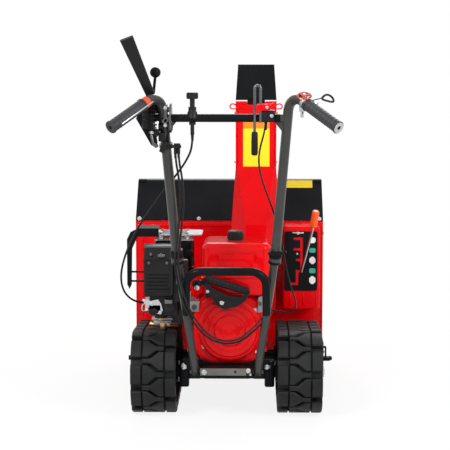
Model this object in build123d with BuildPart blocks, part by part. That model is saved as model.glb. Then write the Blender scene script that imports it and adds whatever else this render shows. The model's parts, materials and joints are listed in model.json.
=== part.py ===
from build123d import *

import os
from math import cos, pi, radians, sin, tan

# A tracked snow blower at its real size, in millimetres: +X right, +Y forward, +Z up,
# ground at z = 0, seen from the operator's side along +Y.

# General fits
running_gap = 0.3
moving_gap = 5.0

# All that stands on the tracks is drawn from the body's own datum plane, this far above ground
body_lift = 23.0

# Tracks
track_width = 134.0
track_centre_x = 218.4
rear_axle_y = -185.0
wheelbase = 300.0
front_axle_y = rear_axle_y + wheelbase
rear_lug_radius = 125.0
front_lug_radius = 112.5
lug_height = 18.0
belt_thickness = 8.0
lug_count = 16
lug_root_length = 51.0
lug_tip_length = 20.0
lug_reach = 0.64
belt_bottom = lug_height + belt_thickness

# Wheels, axles and the frames inside the tracks
rear_axle_radius = 12.5
front_axle_radius = 10.0
wheel_width = 56.0
wheel_rim = 9.0
wheel_web = 10.0
wheel_hub_radius = 27.0
roller_radius = 22.0
roller_width = 50.0
roller_pin_radius = 6.0
roller_count = 3
frame_plate = 6.0
frame_gap = 66.0
axle_end_overhang = 8.0

# Chassis between the tracks
rail_thickness = 4.0
rail_bottom = 84.0
rail_rear_bottom = 113.0
deck_z = 135.0
deck_thickness = 4.0
chassis_rear_y = -306.0
case_half_width = 68.0
case_bottom = 86.0
case_length = 120.0

# Snow housing, auger and impeller
housing_width = 620.0
side_plate = 3.0
sheet = 2.5
axle_room = 21.75
drum_x = 0.0
drum_z = 190.0
drum_inner_radius = 128.0
drum_depth = 150.0
drum_rear_y = front_axle_y + front_axle_radius + axle_room
housing_rear_face = drum_rear_y + drum_depth
housing_rear_y = housing_rear_face + sheet / 2
housing_top = 502.0
housing_front_y = housing_rear_y + 367.0
auger_z = 170.0
auger_y = housing_rear_y + 184.0
auger_radius = 142.0
impeller_radius = 121.0
impeller_shaft_radius = 11.0
auger_shaft_radius = 16.0

# Discharge chute and deflector
chute_x = 87.0
chute_y = housing_rear_y - 92.0
chute_ring_z = 404.0
chute_ring_radius = 78.0
duct_half = 65.0
duct_neck_z = 345.0
duct_top = chute_ring_z - 12
chute_sheet = 2.5
chute_half = 65.0
chute_collar_top = 440.0
chute_octagon_top = 510.0
chute_square_z = 690.0
chute_top = 888.0
chute_mouth_z = 570.0
hinge_z = 898.0
hinge_pin_radius = 3.0
hinge_knuckle_radius = 6.0
deflector_height = 125.0
deflector_top_width = 115.0
deflector_lean = 14.0

# Drift cover above the housing
cover_rise_y = 137.0
cover_rise_z = 121.0
cover_sheet = 3.0

# Gear console on the right
console_left = 177.0
console_right = 296.0
console_rear_y = housing_rear_y - 83.0
console_bottom = 221.0
console_top = 495.0

# Engine
crank_x = 9.0
crank_z = 241.0
fan_rear_y = -245.0
fan_depth = 78.0
fan_left = -100.0
fan_right = 112.0
fan_bottom = 137.0
fan_top = 339.0
recoil_radius = 95.0
tank_left = -74.0
tank_right = 132.0
tank_bottom = 343.0
tank_top = 500.0
tank_rear_y = -250.0
tank_depth = 190.0
cylinder_tilt = 12.0

# Handlebars
lower_tube_radius = 12.0
upper_tube_radius = 14.0
handle_foot = Vector(90.0, -285.0, 108.0)
handle_joint = Vector(142.0, -374.0, 482.0)
handle_bend = Vector(178.0, -510.0, 957.0)
grip_end = Vector(305.0, -653.9, 867.0)
bend_radius = 46.0
grip_radius = 16.5
grip_length = 135.0
crossbar_z = 884.0
crossbar_radius = 11.0
brace_radius = 12.0
brace_bend_radius = 46.0
brace_top_z = 443.0
brace_foot_z = 312.0

os.makedirs("parts", exist_ok=True)


def save(builder, name, lift=body_lift):
    """Lift one finished piece to its place, label it and write it under its own name."""
    piece = builder.part.moved(Location((0, 0, lift)))
    piece.label = name
    export_step(piece, f"parts/{name}.step")


def tube_along(points, bends, radius, mode=Mode.ADD):
    """Sweep a round bar along straight runs and tangent arcs."""
    with BuildLine() as path:
        if len(points) > 2:
            FilletPolyline(*points, radius=bends)
        else:
            Line(*points)
    with BuildSketch(Plane(path.line @ 0, z_dir=path.line % 0)) as section:
        Circle(radius)
    sweep(section.sketch, path=path.line, mode=mode)


def cable_along(points, radius):
    """Sweep a cable through its points, each corner rounded as far as its runs allow."""
    stations = [Vector(*point) for point in points]
    bends = []
    for before, corner, after in zip(stations, stations[1:], stations[2:]):
        turn = radians((corner - before).get_angle(after - corner))
        shorter = min((corner - before).length, (after - corner).length)
        bends.append(0.45 * shorter / tan(turn / 2))
    tube_along(stations, bends, radius)


def bar_between(start, end, radius, mode=Mode.ADD):
    """Make one straight round bar between two points."""
    start, end = Vector(start), Vector(end)
    with BuildSketch(Plane(start, z_dir=end - start)) as section:
        Circle(radius)
    extrude(section.sketch, amount=(end - start).length, mode=mode)


def block(x_range, y_range, z_range, corner=0.0, mode=Mode.ADD):
    """Make a box between limits, its four upright edges rounded when a corner is given."""
    width, depth = x_range[1] - x_range[0], y_range[1] - y_range[0]
    centre = (x_range[0] + width / 2, y_range[0] + depth / 2, z_range[0])
    with BuildSketch(Plane(centre)) as footprint:
        if corner:
            RectangleRounded(width, depth, corner)
        else:
            Rectangle(width, depth)
    extrude(footprint.sketch, amount=z_range[1] - z_range[0], mode=mode)


def bent_sheet(points, bends, x_range, thickness):
    """Bend one sheet along a path of (y, z) points in the side view, across a range of x."""
    middle_x = (x_range[0] + x_range[1]) / 2
    stations = [(middle_x, y, z) for y, z in points]
    with BuildLine() as path:
        if len(stations) > 2:
            FilletPolyline(*stations, radius=bends)
        else:
            Line(*stations)
    with BuildSketch(Plane(path.line @ 0, x_dir=(1, 0, 0), z_dir=path.line % 0)) as section:
        Rectangle(x_range[1] - x_range[0], thickness)
    sweep(section.sketch, path=path.line)


def side_profile(points, corner=0.0):
    """A closed side-view outline of (y, z) points, its corners rounded when asked."""
    with BuildSketch() as profile:
        with BuildLine():
            Polyline(*points, close=True)
        make_face()
        if corner:
            fillet(profile.vertices(), corner)
    return profile.sketch


def point_on_handle(z, top=False):
    """The right handlebar's centre line at a height, on its lower or its upper tube."""
    start, end = (handle_joint, handle_bend) if top else (handle_foot, handle_joint)
    return start + (end - start) * ((z - start.Z) / (end.Z - start.Z))


def mirrored(point, side):
    """The same point on the right (side 1) or on the left (side -1)."""
    return Vector(point.X * side, point.Y, point.Z)


# Tracks: a belt loop round both wheels with interlocking tapered lugs, moulded as one

def loop_face(inset, x):
    """The track's side outline, drawn in by an inset from the tips of the lugs."""
    with BuildSketch(Plane.YZ.offset(x)) as loop:
        with Locations((rear_axle_y, rear_lug_radius)):
            Circle(rear_lug_radius - inset)
        with Locations((front_axle_y, front_lug_radius)):
            Circle(front_lug_radius - inset)
        make_hull()
    return loop.sketch


def lug_outline(side):
    """One tapered block: long at the track's edge, short where it ends past the middle."""
    edge_x = side * track_width / 2
    tip_x = edge_x - side * track_width * lug_reach
    with BuildLine() as outline:
        Polyline(
            (edge_x, -lug_root_length / 2),
            (edge_x, lug_root_length / 2),
            (tip_x, lug_tip_length / 2),
            (tip_x, -lug_tip_length / 2),
            close=True,
        )
    return make_face(outline.edges(), mode=Mode.PRIVATE)


def lug_surfaces(centre_x):
    """Planes on the loop, half a pitch apart, each facing out and across the track."""
    tips = loop_face(0, centre_x).wire()
    middle = Vector(centre_x, rear_axle_y + wheelbase / 2, rear_lug_radius)
    surfaces = []
    for step in range(2 * lug_count):
        point = tips.position_at(step / (2 * lug_count))
        outward = Vector(1, 0, 0).cross(tips.tangent_at(step / (2 * lug_count)))
        if (point - middle).dot(outward) < 0:
            outward = outward * -1
        surfaces.append(Plane(point + outward, x_dir=(1, 0, 0), z_dir=outward))
    return surfaces


left_edge = -track_centre_x - track_width / 2
lug_depth = lug_height + belt_thickness / 2
surfaces = lug_surfaces(-track_centre_x)
with BuildPart() as track_left:
    for surface, side in zip(surfaces, (1, -1) * lug_count):
        with BuildSketch(surface):
            add(lug_outline(side))
    extrude(amount=-lug_depth - 1)
    extrude(loop_face(0, left_edge), amount=track_width, mode=Mode.INTERSECT)
    extrude(loop_face(lug_height, left_edge), amount=track_width)
    extrude(loop_face(belt_bottom, left_edge), amount=track_width, mode=Mode.SUBTRACT)
save(track_left, "track_left", lift=0)

with BuildPart() as track_right:
    add(track_left.part.moved(Location((2 * track_centre_x, 0, 0))))
save(track_right, "track_right", lift=0)


# Wheels, rollers and their frames, alike on both sides

def add_wheel(centre_x, y, z, radius, bore):
    """A webbed wheel with a rim, round holes and a hub, centred across its track."""
    half = wheel_width / 2
    across = Plane.YZ.offset(centre_x)
    with BuildSketch(across) as rim:
        with Locations((y, z)):
            Circle(radius)
            Circle(radius - wheel_rim, mode=Mode.SUBTRACT)
            Circle(wheel_hub_radius)
            Circle(bore, mode=Mode.SUBTRACT)
    extrude(rim.sketch, amount=half, both=True)
    window = (radius - wheel_rim - wheel_hub_radius) * 0.32
    with BuildSketch(across) as web:
        with Locations((y, z)):
            Circle(radius - wheel_rim / 2)
            Circle(bore, mode=Mode.SUBTRACT)
            with PolarLocations((radius - wheel_rim + wheel_hub_radius) / 2, 6):
                Circle(window, mode=Mode.SUBTRACT)
    extrude(web.sketch, amount=wheel_web / 2, both=True)


wheels = (
    # name, y, z, belt radius, axle radius
    ("drive_wheels", rear_axle_y, rear_lug_radius, rear_lug_radius - belt_bottom, rear_axle_radius),
    ("idler_wheels", front_axle_y, front_lug_radius, front_lug_radius - belt_bottom, front_axle_radius),
)
for name, y, z, belt_radius, axle_radius in wheels:
    with BuildPart() as wheel_pair:
        for centre_x in (-track_centre_x, track_centre_x):
            add_wheel(centre_x, y, z, belt_radius - running_gap, axle_radius + running_gap)
    save(wheel_pair, name, lift=0)

axles = (
    # name, y, z, radius, nut width, where each half starts beside the middle
    ("drive_axles", rear_axle_y, rear_lug_radius, rear_axle_radius, 8.0, case_half_width),
    ("idler_axle", front_axle_y, front_lug_radius, front_axle_radius, 7.0, 0.0),
)
axle_half = track_centre_x + track_width / 2 + axle_end_overhang
for name, y, z, radius, nut_width, inner_end in axles:
    with BuildPart() as axle:
        for side in (-1, 1):
            bar_between((side * inner_end, y, z), (side * axle_half, y, z), radius)
            with BuildSketch(Plane.YZ.offset(side * (axle_half - nut_width))) as nut:
                with Locations((y, z)):
                    RegularPolygon(radius * 1.5, 6)
            extrude(nut.sketch, amount=nut_width * side)
    save(axle, name, lift=0)

roller_z = belt_bottom + running_gap + roller_radius


def reach_beside(lug_radius):
    """How far along the track a roller's axis lies from that of a wheel it just clears."""
    centres_apart = lug_radius - belt_bottom + roller_radius + moving_gap
    return (centres_apart**2 - (lug_radius - roller_z) ** 2) ** 0.5


first_roller_y = rear_axle_y + reach_beside(rear_lug_radius)
last_roller_y = front_axle_y - reach_beside(front_lug_radius)
roller_step = (last_roller_y - first_roller_y) / (roller_count - 1)
roller_ys = [first_roller_y + roller_step * number for number in range(roller_count)]
with BuildPart() as rollers:
    for centre_x in (-track_centre_x, track_centre_x):
        with BuildSketch(Plane.YZ.offset(centre_x)) as roller_faces:
            for y in roller_ys:
                with Locations((y, roller_z)):
                    Circle(roller_radius)
                    Circle(roller_pin_radius + running_gap, mode=Mode.SUBTRACT)
        extrude(roller_faces.sketch, amount=roller_width / 2, both=True)
save(rollers, "road_rollers", lift=0)


def build_track_frame(name, centre_x):
    """Two plates on either side of the wheels, joined by the rollers' pins."""
    plate_x = frame_gap / 2 + frame_plate / 2
    with BuildPart() as frame:
        for side in (-1, 1):
            with BuildSketch(Plane.YZ.offset(centre_x + side * plate_x)) as plate:
                with Locations((rear_axle_y, rear_lug_radius)):
                    Circle(rear_axle_radius + 18)
                with Locations((front_axle_y, front_lug_radius)):
                    Circle(front_axle_radius + 18)
                for y in (roller_ys[0], roller_ys[-1]):
                    with Locations((y, roller_z)):
                        Circle(roller_pin_radius + 9)
                make_hull()
                with Locations((rear_axle_y, rear_lug_radius)):
                    Circle(rear_axle_radius + running_gap, mode=Mode.SUBTRACT)
                with Locations((front_axle_y, front_lug_radius)):
                    Circle(front_axle_radius + running_gap, mode=Mode.SUBTRACT)
            extrude(plate.sketch, amount=frame_plate / 2, both=True)
        for y in roller_ys:
            bar_between(
                (centre_x - plate_x, y, roller_z), (centre_x + plate_x, y, roller_z), roller_pin_radius
            )
    save(frame, name, lift=0)


build_track_frame("track_frame_left", -track_centre_x)
build_track_frame("track_frame_right", track_centre_x)


# Chassis: two side rails, the engine deck between them and a strip across the rear

rail_outer = handle_foot.X - lower_tube_radius - running_gap
rail_inner = rail_outer - rail_thickness
axle_bores = (
    # y, z, radius
    (rear_axle_y, rear_lug_radius - body_lift, rear_axle_radius + running_gap),
    (front_axle_y, front_lug_radius - body_lift, front_axle_radius + running_gap),
)
foot_bolt_radius = 5.0
foot_bolt_z = handle_foot.Z + 14
foot_bolt_y = handle_foot.Y + (handle_joint.Y - handle_foot.Y) * 14 / (handle_joint.Z - handle_foot.Z)

with BuildPart() as chassis_frame:
    for side in (-1, 1):
        rail_side = side * (rail_inner + rail_thickness / 2)
        with BuildSketch(Plane.YZ.offset(rail_side)) as rail:
            add(
                side_profile(
                    (
                        (chassis_rear_y, rail_rear_bottom),
                        (rear_axle_y - rear_axle_radius, rail_bottom),
                        (drum_rear_y, rail_bottom),
                        (drum_rear_y, deck_z),
                        (chassis_rear_y, deck_z),
                    )
                )
            )
            for y, z, radius in axle_bores:
                with Locations((y, z)):
                    Circle(radius, mode=Mode.SUBTRACT)
            with Locations((foot_bolt_y, foot_bolt_z)):
                Circle(foot_bolt_radius + running_gap, mode=Mode.SUBTRACT)
        extrude(rail.sketch, amount=rail_thickness / 2, both=True)
    block((-rail_inner, rail_inner), (chassis_rear_y, drum_rear_y), (deck_z - deck_thickness, deck_z))
save(chassis_frame, "chassis_frame")

with BuildPart() as rear_strip:
    block(
        (-rail_outer, rail_outer - 20),
        (chassis_rear_y - 3, chassis_rear_y),
        (deck_z - 20, deck_z + 1),
    )
    with Locations(Plane.XZ.offset(-chassis_rear_y).location * Location((26, deck_z - 9, 0))):
        Hole(4, depth=20)
save(rear_strip, "rear_strip")

with BuildPart() as transmission_case:
    case_top = deck_z - deck_thickness
    with BuildSketch(Plane.YZ.offset(-case_half_width)) as case_side:
        add(
            side_profile(
                (
                    (rear_axle_y - case_length * 0.4, case_bottom),
                    (rear_axle_y + case_length * 0.6, case_bottom),
                    (rear_axle_y + case_length * 0.6, case_top),
                    (rear_axle_y - case_length * 0.4, case_top),
                ),
                12.0,
            )
        )
    extrude(case_side.sketch, amount=2 * case_half_width)
save(transmission_case, "transmission_case")

flange_inner = rail_outer
flange_outer = track_centre_x - frame_gap / 2 - frame_plate
with BuildPart() as axle_flanges:
    for y, z, bore in axle_bores:
        for side in (-1, 1):
            with BuildSketch(Plane.YZ.offset(side * (flange_outer - 34))) as flange:
                with Locations((y, z)):
                    Circle(bore + 20)
                    Circle(bore, mode=Mode.SUBTRACT)
            extrude(flange.sketch, amount=side * 6)
            with BuildSketch(Plane.YZ.offset(side * flange_inner)) as sleeve:
                with Locations((y, z)):
                    Circle(bore + 7)
                    Circle(bore, mode=Mode.SUBTRACT)
            extrude(sleeve.sketch, amount=side * (flange_outer - flange_inner))
save(axle_flanges, "axle_flanges")


# Snow housing: one bent sheet between two shaped side plates

side_inner = housing_width / 2 - side_plate
scoop_floor = 14.0
scoop_bend = 90.0
scoop_lip_y = housing_rear_y + 202.0
hood_front_y = housing_rear_y + 262.0
cutter_hole_radius = 4.5
cutter_hole_y = housing_front_y - 45
cutter_hole_zs = (250.0, 330.0)

with BuildPart() as auger_housing:
    bent_sheet(
        (
            (hood_front_y, housing_top),
            (housing_rear_y, housing_top),
            (housing_rear_y, scoop_floor),
            (scoop_lip_y, scoop_floor),
        ),
        [10.0, scoop_bend],
        (-side_inner, side_inner),
        sheet,
    )
    side_outline = side_profile(
        (
            (housing_rear_face, scoop_floor + 46),
            (housing_rear_face + 46, scoop_floor - sheet / 2),
            (housing_front_y - 90, scoop_floor - sheet / 2),
            (housing_front_y, auger_z - 50),
            (housing_front_y, auger_z + 150),
            (hood_front_y + 10, housing_top + sheet / 2),
            (housing_rear_face, housing_top + sheet / 2),
        )
    )
    for side in (-1, 1):
        with BuildSketch(Plane.YZ.offset(side * (side_inner + side_plate / 2))) as cheek:
            add(side_outline)
            with Locations((auger_y, auger_z)):
                Circle(auger_shaft_radius + running_gap, mode=Mode.SUBTRACT)
            with Locations(*[(cutter_hole_y, z) for z in cutter_hole_zs]):
                Circle(cutter_hole_radius, mode=Mode.SUBTRACT)
        extrude(cheek.sketch, amount=side_plate / 2, both=True)
    with BuildSketch(Plane.XZ.offset(-housing_rear_face + 20)) as drum_opening:
        with Locations((drum_x, drum_z)):
            Circle(drum_inner_radius)
    extrude(drum_opening.sketch, amount=-60, mode=Mode.SUBTRACT)
save(auger_housing, "auger_housing")

with BuildPart() as scraper_bar:
    block(
        (-side_inner, side_inner),
        (scoop_lip_y - 60, scoop_lip_y + 12),
        (scoop_floor - sheet / 2 - running_gap - 8, scoop_floor - sheet / 2 - running_gap),
    )
save(scraper_bar, "scraper_bar")

shoe_thickness = 5.0
shoe_width = 46.0
shoe_length = 150.0
shoe_nose = 24.0
shoe_rear_y = housing_rear_y + 4.0
shoe_sole_z = 3.0 - body_lift
shoe_plate_top = 92.0
shoe_stud_radius = 8.0
shoe_stud_z = 24.0
shoe_stud_reach = 28.0
for side, name in ((-1, "skid_shoe_left"), (1, "skid_shoe_right")):
    with BuildPart() as skid_shoe:
        plate_inner = side * housing_width / 2
        plate_outer = side * (housing_width / 2 + shoe_thickness)
        front_y = shoe_rear_y + shoe_length
        with BuildSketch(Plane.YZ.offset(plate_inner)) as plate:
            add(
                side_profile(
                    (
                        (shoe_rear_y, shoe_sole_z + shoe_nose),
                        (shoe_rear_y + shoe_nose, shoe_sole_z),
                        (front_y - shoe_nose, shoe_sole_z),
                        (front_y, shoe_sole_z + shoe_nose),
                        (front_y, shoe_plate_top),
                        (shoe_rear_y, shoe_plate_top),
                    )
                )
            )
        extrude(plate.sketch, amount=side * shoe_thickness)
        block(
            sorted((plate_outer, plate_outer - side * shoe_width)),
            (shoe_rear_y + shoe_nose, front_y - shoe_nose),
            (shoe_sole_z, shoe_sole_z + shoe_thickness),
        )
        bar_between(
            (plate_outer, shoe_rear_y + shoe_length / 2, shoe_stud_z),
            (plate_outer + side * shoe_stud_reach, shoe_rear_y + shoe_length / 2, shoe_stud_z),
            shoe_stud_radius,
        )
    save(skid_shoe, name)

with BuildPart() as drift_cover:
    cover_foot = housing_top + sheet / 2
    bent_sheet(
        (
            (housing_rear_y, cover_foot + cover_sheet / 2),
            (housing_rear_y + cover_rise_y, cover_foot + cover_rise_z),
            (housing_rear_y + cover_rise_y + 40, cover_foot + cover_rise_z),
        ),
        [8.0],
        (-housing_width / 2, housing_width / 2),
        cover_sheet,
    )
    for side in (-1, 1):
        with BuildSketch(Plane.YZ.offset(side * (housing_width / 2 - cover_sheet))) as ear:
            add(
                side_profile(
                    (
                        (housing_rear_y, cover_foot),
                        (housing_rear_y + cover_rise_y + 40, cover_foot),
                        (housing_rear_y + cover_rise_y + 40, cover_foot + cover_rise_z),
                        (housing_rear_y + cover_rise_y, cover_foot + cover_rise_z),
                    )
                )
            )
        extrude(ear.sketch, amount=side * cover_sheet)
    block(
        (-housing_width, housing_width), (0, 2 * housing_front_y), (0, cover_foot), mode=Mode.SUBTRACT
    )
save(drift_cover, "drift_cover")


# Impeller housing: a drum behind the snow housing with a duct up to the chute

def duct_face(inset, top):
    """The duct's outline in the rear view, from the drum's middle to its upper rim."""
    with BuildSketch(Plane.XZ) as duct:
        with BuildLine():
            Polyline(
                (chute_x - duct_half + inset, drum_z),
                (drum_x + drum_inner_radius + chute_sheet - inset, drum_z),
                (chute_x + duct_half - inset, drum_z + 50),
                (chute_x + duct_half - inset, top),
                (chute_x - duct_half + inset, top),
                close=True,
            )
        make_face()
    return duct.sketch


duct_front_y = housing_rear_face - 12.0
duct_rear_y = drum_rear_y + 8.0
ring_half = chute_ring_radius + 2.0


def duct_neck(inset, mode):
    """The duct's last stretch, which widens from its square neck to the chute's ring."""
    with BuildSketch(Plane((chute_x, (duct_rear_y + duct_front_y) / 2, duct_neck_z))) as lower:
        Rectangle(2 * (duct_half - inset), duct_front_y - duct_rear_y - 2 * inset)
    with BuildSketch(Plane((chute_x, chute_y, duct_top))) as upper:
        Rectangle(2 * (ring_half - inset), 2 * (ring_half - inset))
    loft([lower.sketch.faces()[0], upper.sketch.faces()[0]], ruled=True, mode=mode)


with BuildPart() as impeller_housing:
    with BuildSketch(Plane.XZ.offset(-housing_rear_face)) as drum:
        with Locations((drum_x, drum_z)):
            Circle(drum_inner_radius + chute_sheet)
    extrude(drum.sketch, amount=drum_depth)
    extrude(
        duct_face(0, duct_neck_z).moved(Location((0, duct_front_y, 0))),
        amount=duct_front_y - duct_rear_y,
    )
    duct_neck(0, Mode.ADD)
    with BuildSketch(Plane.XZ.offset(-housing_rear_face)) as bore:
        with Locations((drum_x, drum_z)):
            Circle(drum_inner_radius)
    extrude(bore.sketch, amount=drum_depth - chute_sheet, mode=Mode.SUBTRACT)
    extrude(
        duct_face(chute_sheet, duct_neck_z).moved(Location((0, duct_front_y - chute_sheet, 0))),
        amount=duct_front_y - duct_rear_y - 2 * chute_sheet,
        mode=Mode.SUBTRACT,
    )
    duct_neck(chute_sheet, Mode.SUBTRACT)
    bar_between(
        (drum_x, drum_rear_y - 6, drum_z), (drum_x, drum_rear_y, drum_z), impeller_shaft_radius + 16
    )
    bar_between(
        (drum_x, drum_rear_y - 7, drum_z),
        (drum_x, drum_rear_y + 10, drum_z),
        impeller_shaft_radius + running_gap,
        mode=Mode.SUBTRACT,
    )
save(impeller_housing, "impeller_housing")

paddle_count = 4
paddle_thickness = 4.0
paddle_rear_y = drum_rear_y + chute_sheet + moving_gap + 1
paddle_depth = drum_depth - 32.0
with BuildPart() as impeller:
    gearbox_end_y = auger_y - 34
    bar_between((drum_x, drum_rear_y - 34, drum_z), (drum_x, gearbox_end_y, drum_z), impeller_shaft_radius)
    bar_between(
        (drum_x, paddle_rear_y, drum_z), (drum_x, paddle_rear_y + paddle_depth, drum_z), 26.0
    )
    with BuildSketch(Plane.XZ.offset(-paddle_rear_y)) as paddles:
        with Locations((drum_x, drum_z)):
            with PolarLocations(impeller_radius / 2 + 6, paddle_count):
                Rectangle(impeller_radius - 12, paddle_thickness)
            with PolarLocations(impeller_radius - 6, paddle_count):
                with Locations((0, -6)):
                    Rectangle(paddle_thickness, 14)
    extrude(paddles.sketch, amount=-paddle_depth)
save(impeller, "impeller")


# Auger: a shaft with two ribbons on each side, each carried by three arms

ribbon_width = 40.0
ribbon_thickness = 4.0
ribbon_steps = 12
ribbon_inner_x = 52.0
ribbon_outer_x = 284.0
arm_steps = (1, 6, 11)


def radial_plane(x, angle, radius):
    """A plane through the auger's axis line, at an angle round it and a distance out."""
    out = Vector(0, cos(angle), sin(angle))
    origin = Vector(x, auger_y, auger_z) + out * radius
    return Plane(origin, x_dir=out, z_dir=Vector(0, -sin(angle), cos(angle)))


with BuildPart() as auger:
    bar_between(
        (-housing_width / 2, auger_y, auger_z), (housing_width / 2, auger_y, auger_z), auger_shaft_radius
    )
    for side in (-1, 1):
        for start_angle in (0.0, pi):
            stations = []
            for step in range(ribbon_steps + 1):
                share = step / ribbon_steps
                x = side * (ribbon_outer_x - share * (ribbon_outer_x - ribbon_inner_x))
                stations.append((x, start_angle + share * 2 * pi * 0.85))
            sections = []
            for x, angle in stations:
                plane = radial_plane(x, angle, auger_radius - ribbon_width / 2)
                with BuildSketch(plane) as section:
                    Rectangle(ribbon_width, ribbon_thickness)
                sections.append(section.sketch.faces()[0])
            loft(sections, ruled=True)
            for step in arm_steps:
                x, angle = stations[step]
                out = Vector(0, cos(angle), sin(angle))
                axis_point = Vector(x, auger_y, auger_z)
                bar_between(axis_point, axis_point + out * (auger_radius - ribbon_width + 8), 7.0)
save(auger, "auger")

gearbox_radius = 40.0
gearbox_half = 34.0
with BuildPart() as auger_gearbox:
    bar_between((-gearbox_half, auger_y, auger_z), (gearbox_half, auger_y, auger_z), gearbox_radius)
    bar_between((drum_x, auger_y - 92, drum_z), (drum_x, auger_y, drum_z), 26.0)
    bar_between(
        (-gearbox_half - 6, auger_y, auger_z), (gearbox_half + 6, auger_y, auger_z), 24.0
    )
    bar_between(
        (-gearbox_half - 7, auger_y, auger_z),
        (gearbox_half + 7, auger_y, auger_z),
        auger_shaft_radius + running_gap,
        mode=Mode.SUBTRACT,
    )
    bar_between(
        (drum_x, auger_y - 93, drum_z),
        (drum_x, gearbox_end_y + running_gap, drum_z),
        impeller_shaft_radius + running_gap,
        mode=Mode.SUBTRACT,
    )
save(auger_gearbox, "auger_gearbox")

with BuildPart() as belt_cover:
    cover_rear_y = drum_rear_y - 96
    with BuildSketch(Plane.XZ.offset(-drum_rear_y + 6)) as cover_face:
        with Locations((drum_x, drum_z)):
            Circle(88)
        with Locations((crank_x, crank_z + 34)):
            Circle(62)
        make_hull()
    extrude(cover_face.sketch, amount=drum_rear_y - 6 - cover_rear_y)
    fillet(belt_cover.faces().sort_by(Axis.Y)[0].edges(), 14)
    block(
        (-200, 200), (cover_rear_y - 5, drum_rear_y), (0, deck_z), mode=Mode.SUBTRACT
    )
    bar_between(
        (drum_x, drum_rear_y - 40, drum_z),
        (drum_x, drum_rear_y, drum_z),
        impeller_shaft_radius + moving_gap,
        mode=Mode.SUBTRACT,
    )
save(belt_cover, "belt_cover")


# Chute ring: the flange that closes the duct and carries the turning chute

with BuildPart() as chute_ring:
    with BuildSketch(Plane((chute_x, chute_y, duct_top))) as flange:
        Rectangle(2 * ring_half, 2 * ring_half)
        Circle(chute_ring_radius - chute_sheet - 2, mode=Mode.SUBTRACT)
    extrude(flange.sketch, amount=3)
    with BuildSketch(Plane((chute_x, chute_y, duct_top + 3))) as ring:
        Circle(chute_ring_radius)
        Circle(chute_ring_radius - chute_sheet - 2, mode=Mode.SUBTRACT)
    extrude(ring.sketch, amount=chute_ring_z + 8 - duct_top - 3)
save(chute_ring, "chute_ring")


# Chute: a round collar that turns on the ring, eight flat sides that widen to a square channel

def eight_sided(z, half, flat):
    """An eight-sided outline about the chute's axis, from its half width and half flat."""
    with BuildSketch(Plane((chute_x, chute_y, z))) as outline:
        with BuildLine():
            Polyline(
                (half, -flat), (half, flat), (flat, half), (-flat, half),
                (-half, flat), (-half, -flat), (-flat, -half), (flat, -half),
                close=True,
            )
        make_face()
    return outline.sketch.faces()[0]


def add_chute_body(inset, extra, mode):
    """The chute's body drawn in by an inset; extra lengthens it at both ends."""
    round_half = chute_ring_radius - inset
    round_flat = round_half * tan(pi / 8)
    square_half = chute_half - inset
    square_flat = square_half - 8
    low = eight_sided(chute_collar_top - extra, round_half, round_flat)
    middle = eight_sided(chute_octagon_top, round_half, round_flat)
    high = eight_sided(chute_square_z, square_half, square_flat)
    extrude(low, amount=chute_octagon_top - chute_collar_top + extra, mode=mode)
    loft([middle, high], ruled=True, mode=mode)
    extrude(high, amount=chute_top - chute_square_z + extra, mode=mode)


hinge_y = chute_y - chute_half + chute_sheet / 2
side_depth = 44.0
collar_gap = 1.0
knuckle_half = 28.0
with BuildPart() as chute:
    add_chute_body(0, 0, Mode.ADD)
    add_chute_body(chute_sheet, 2, Mode.SUBTRACT)
    mouth = side_profile(
        (
            (chute_y + chute_half + 5, chute_mouth_z),
            (chute_y + side_depth, chute_mouth_z + 80),
            (chute_y + side_depth, chute_top - 78),
            (hinge_y + 12, chute_top),
            (hinge_y + 12, chute_top + 10),
            (chute_y + chute_half + 5, chute_top + 10),
        )
    )
    with BuildSketch(Plane.YZ.offset(chute_x - chute_half - 5)) as mouth_face:
        add(mouth)
    extrude(mouth_face.sketch, amount=2 * chute_half + 10, mode=Mode.SUBTRACT)
    with BuildSketch(Plane((chute_x, chute_y, duct_top + 5))) as collar:
        Circle(chute_ring_radius + collar_gap + 3)
        Circle(chute_ring_radius + collar_gap, mode=Mode.SUBTRACT)
    extrude(collar.sketch, amount=chute_collar_top - duct_top - 5)
    with BuildSketch(Plane((chute_x, chute_y, chute_collar_top))) as shoulder:
        Circle(chute_ring_radius + collar_gap + 6)
        Circle(chute_ring_radius - 6, mode=Mode.SUBTRACT)
    extrude(shoulder.sketch, amount=3)
    for side in (-1, 1):
        inner, outer = chute_x + side * (knuckle_half + 1), chute_x + side * chute_half
        bar_between((inner, hinge_y, hinge_z), (outer, hinge_y, hinge_z), hinge_knuckle_radius)
        block(
            sorted((inner, outer)),
            (hinge_y - chute_sheet / 2, hinge_y + chute_sheet / 2),
            (chute_top - 3, hinge_z),
        )
    bar_between(
        (chute_x - chute_half, hinge_y, hinge_z), (chute_x + chute_half, hinge_y, hinge_z), hinge_pin_radius
    )
save(chute, "chute")

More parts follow.
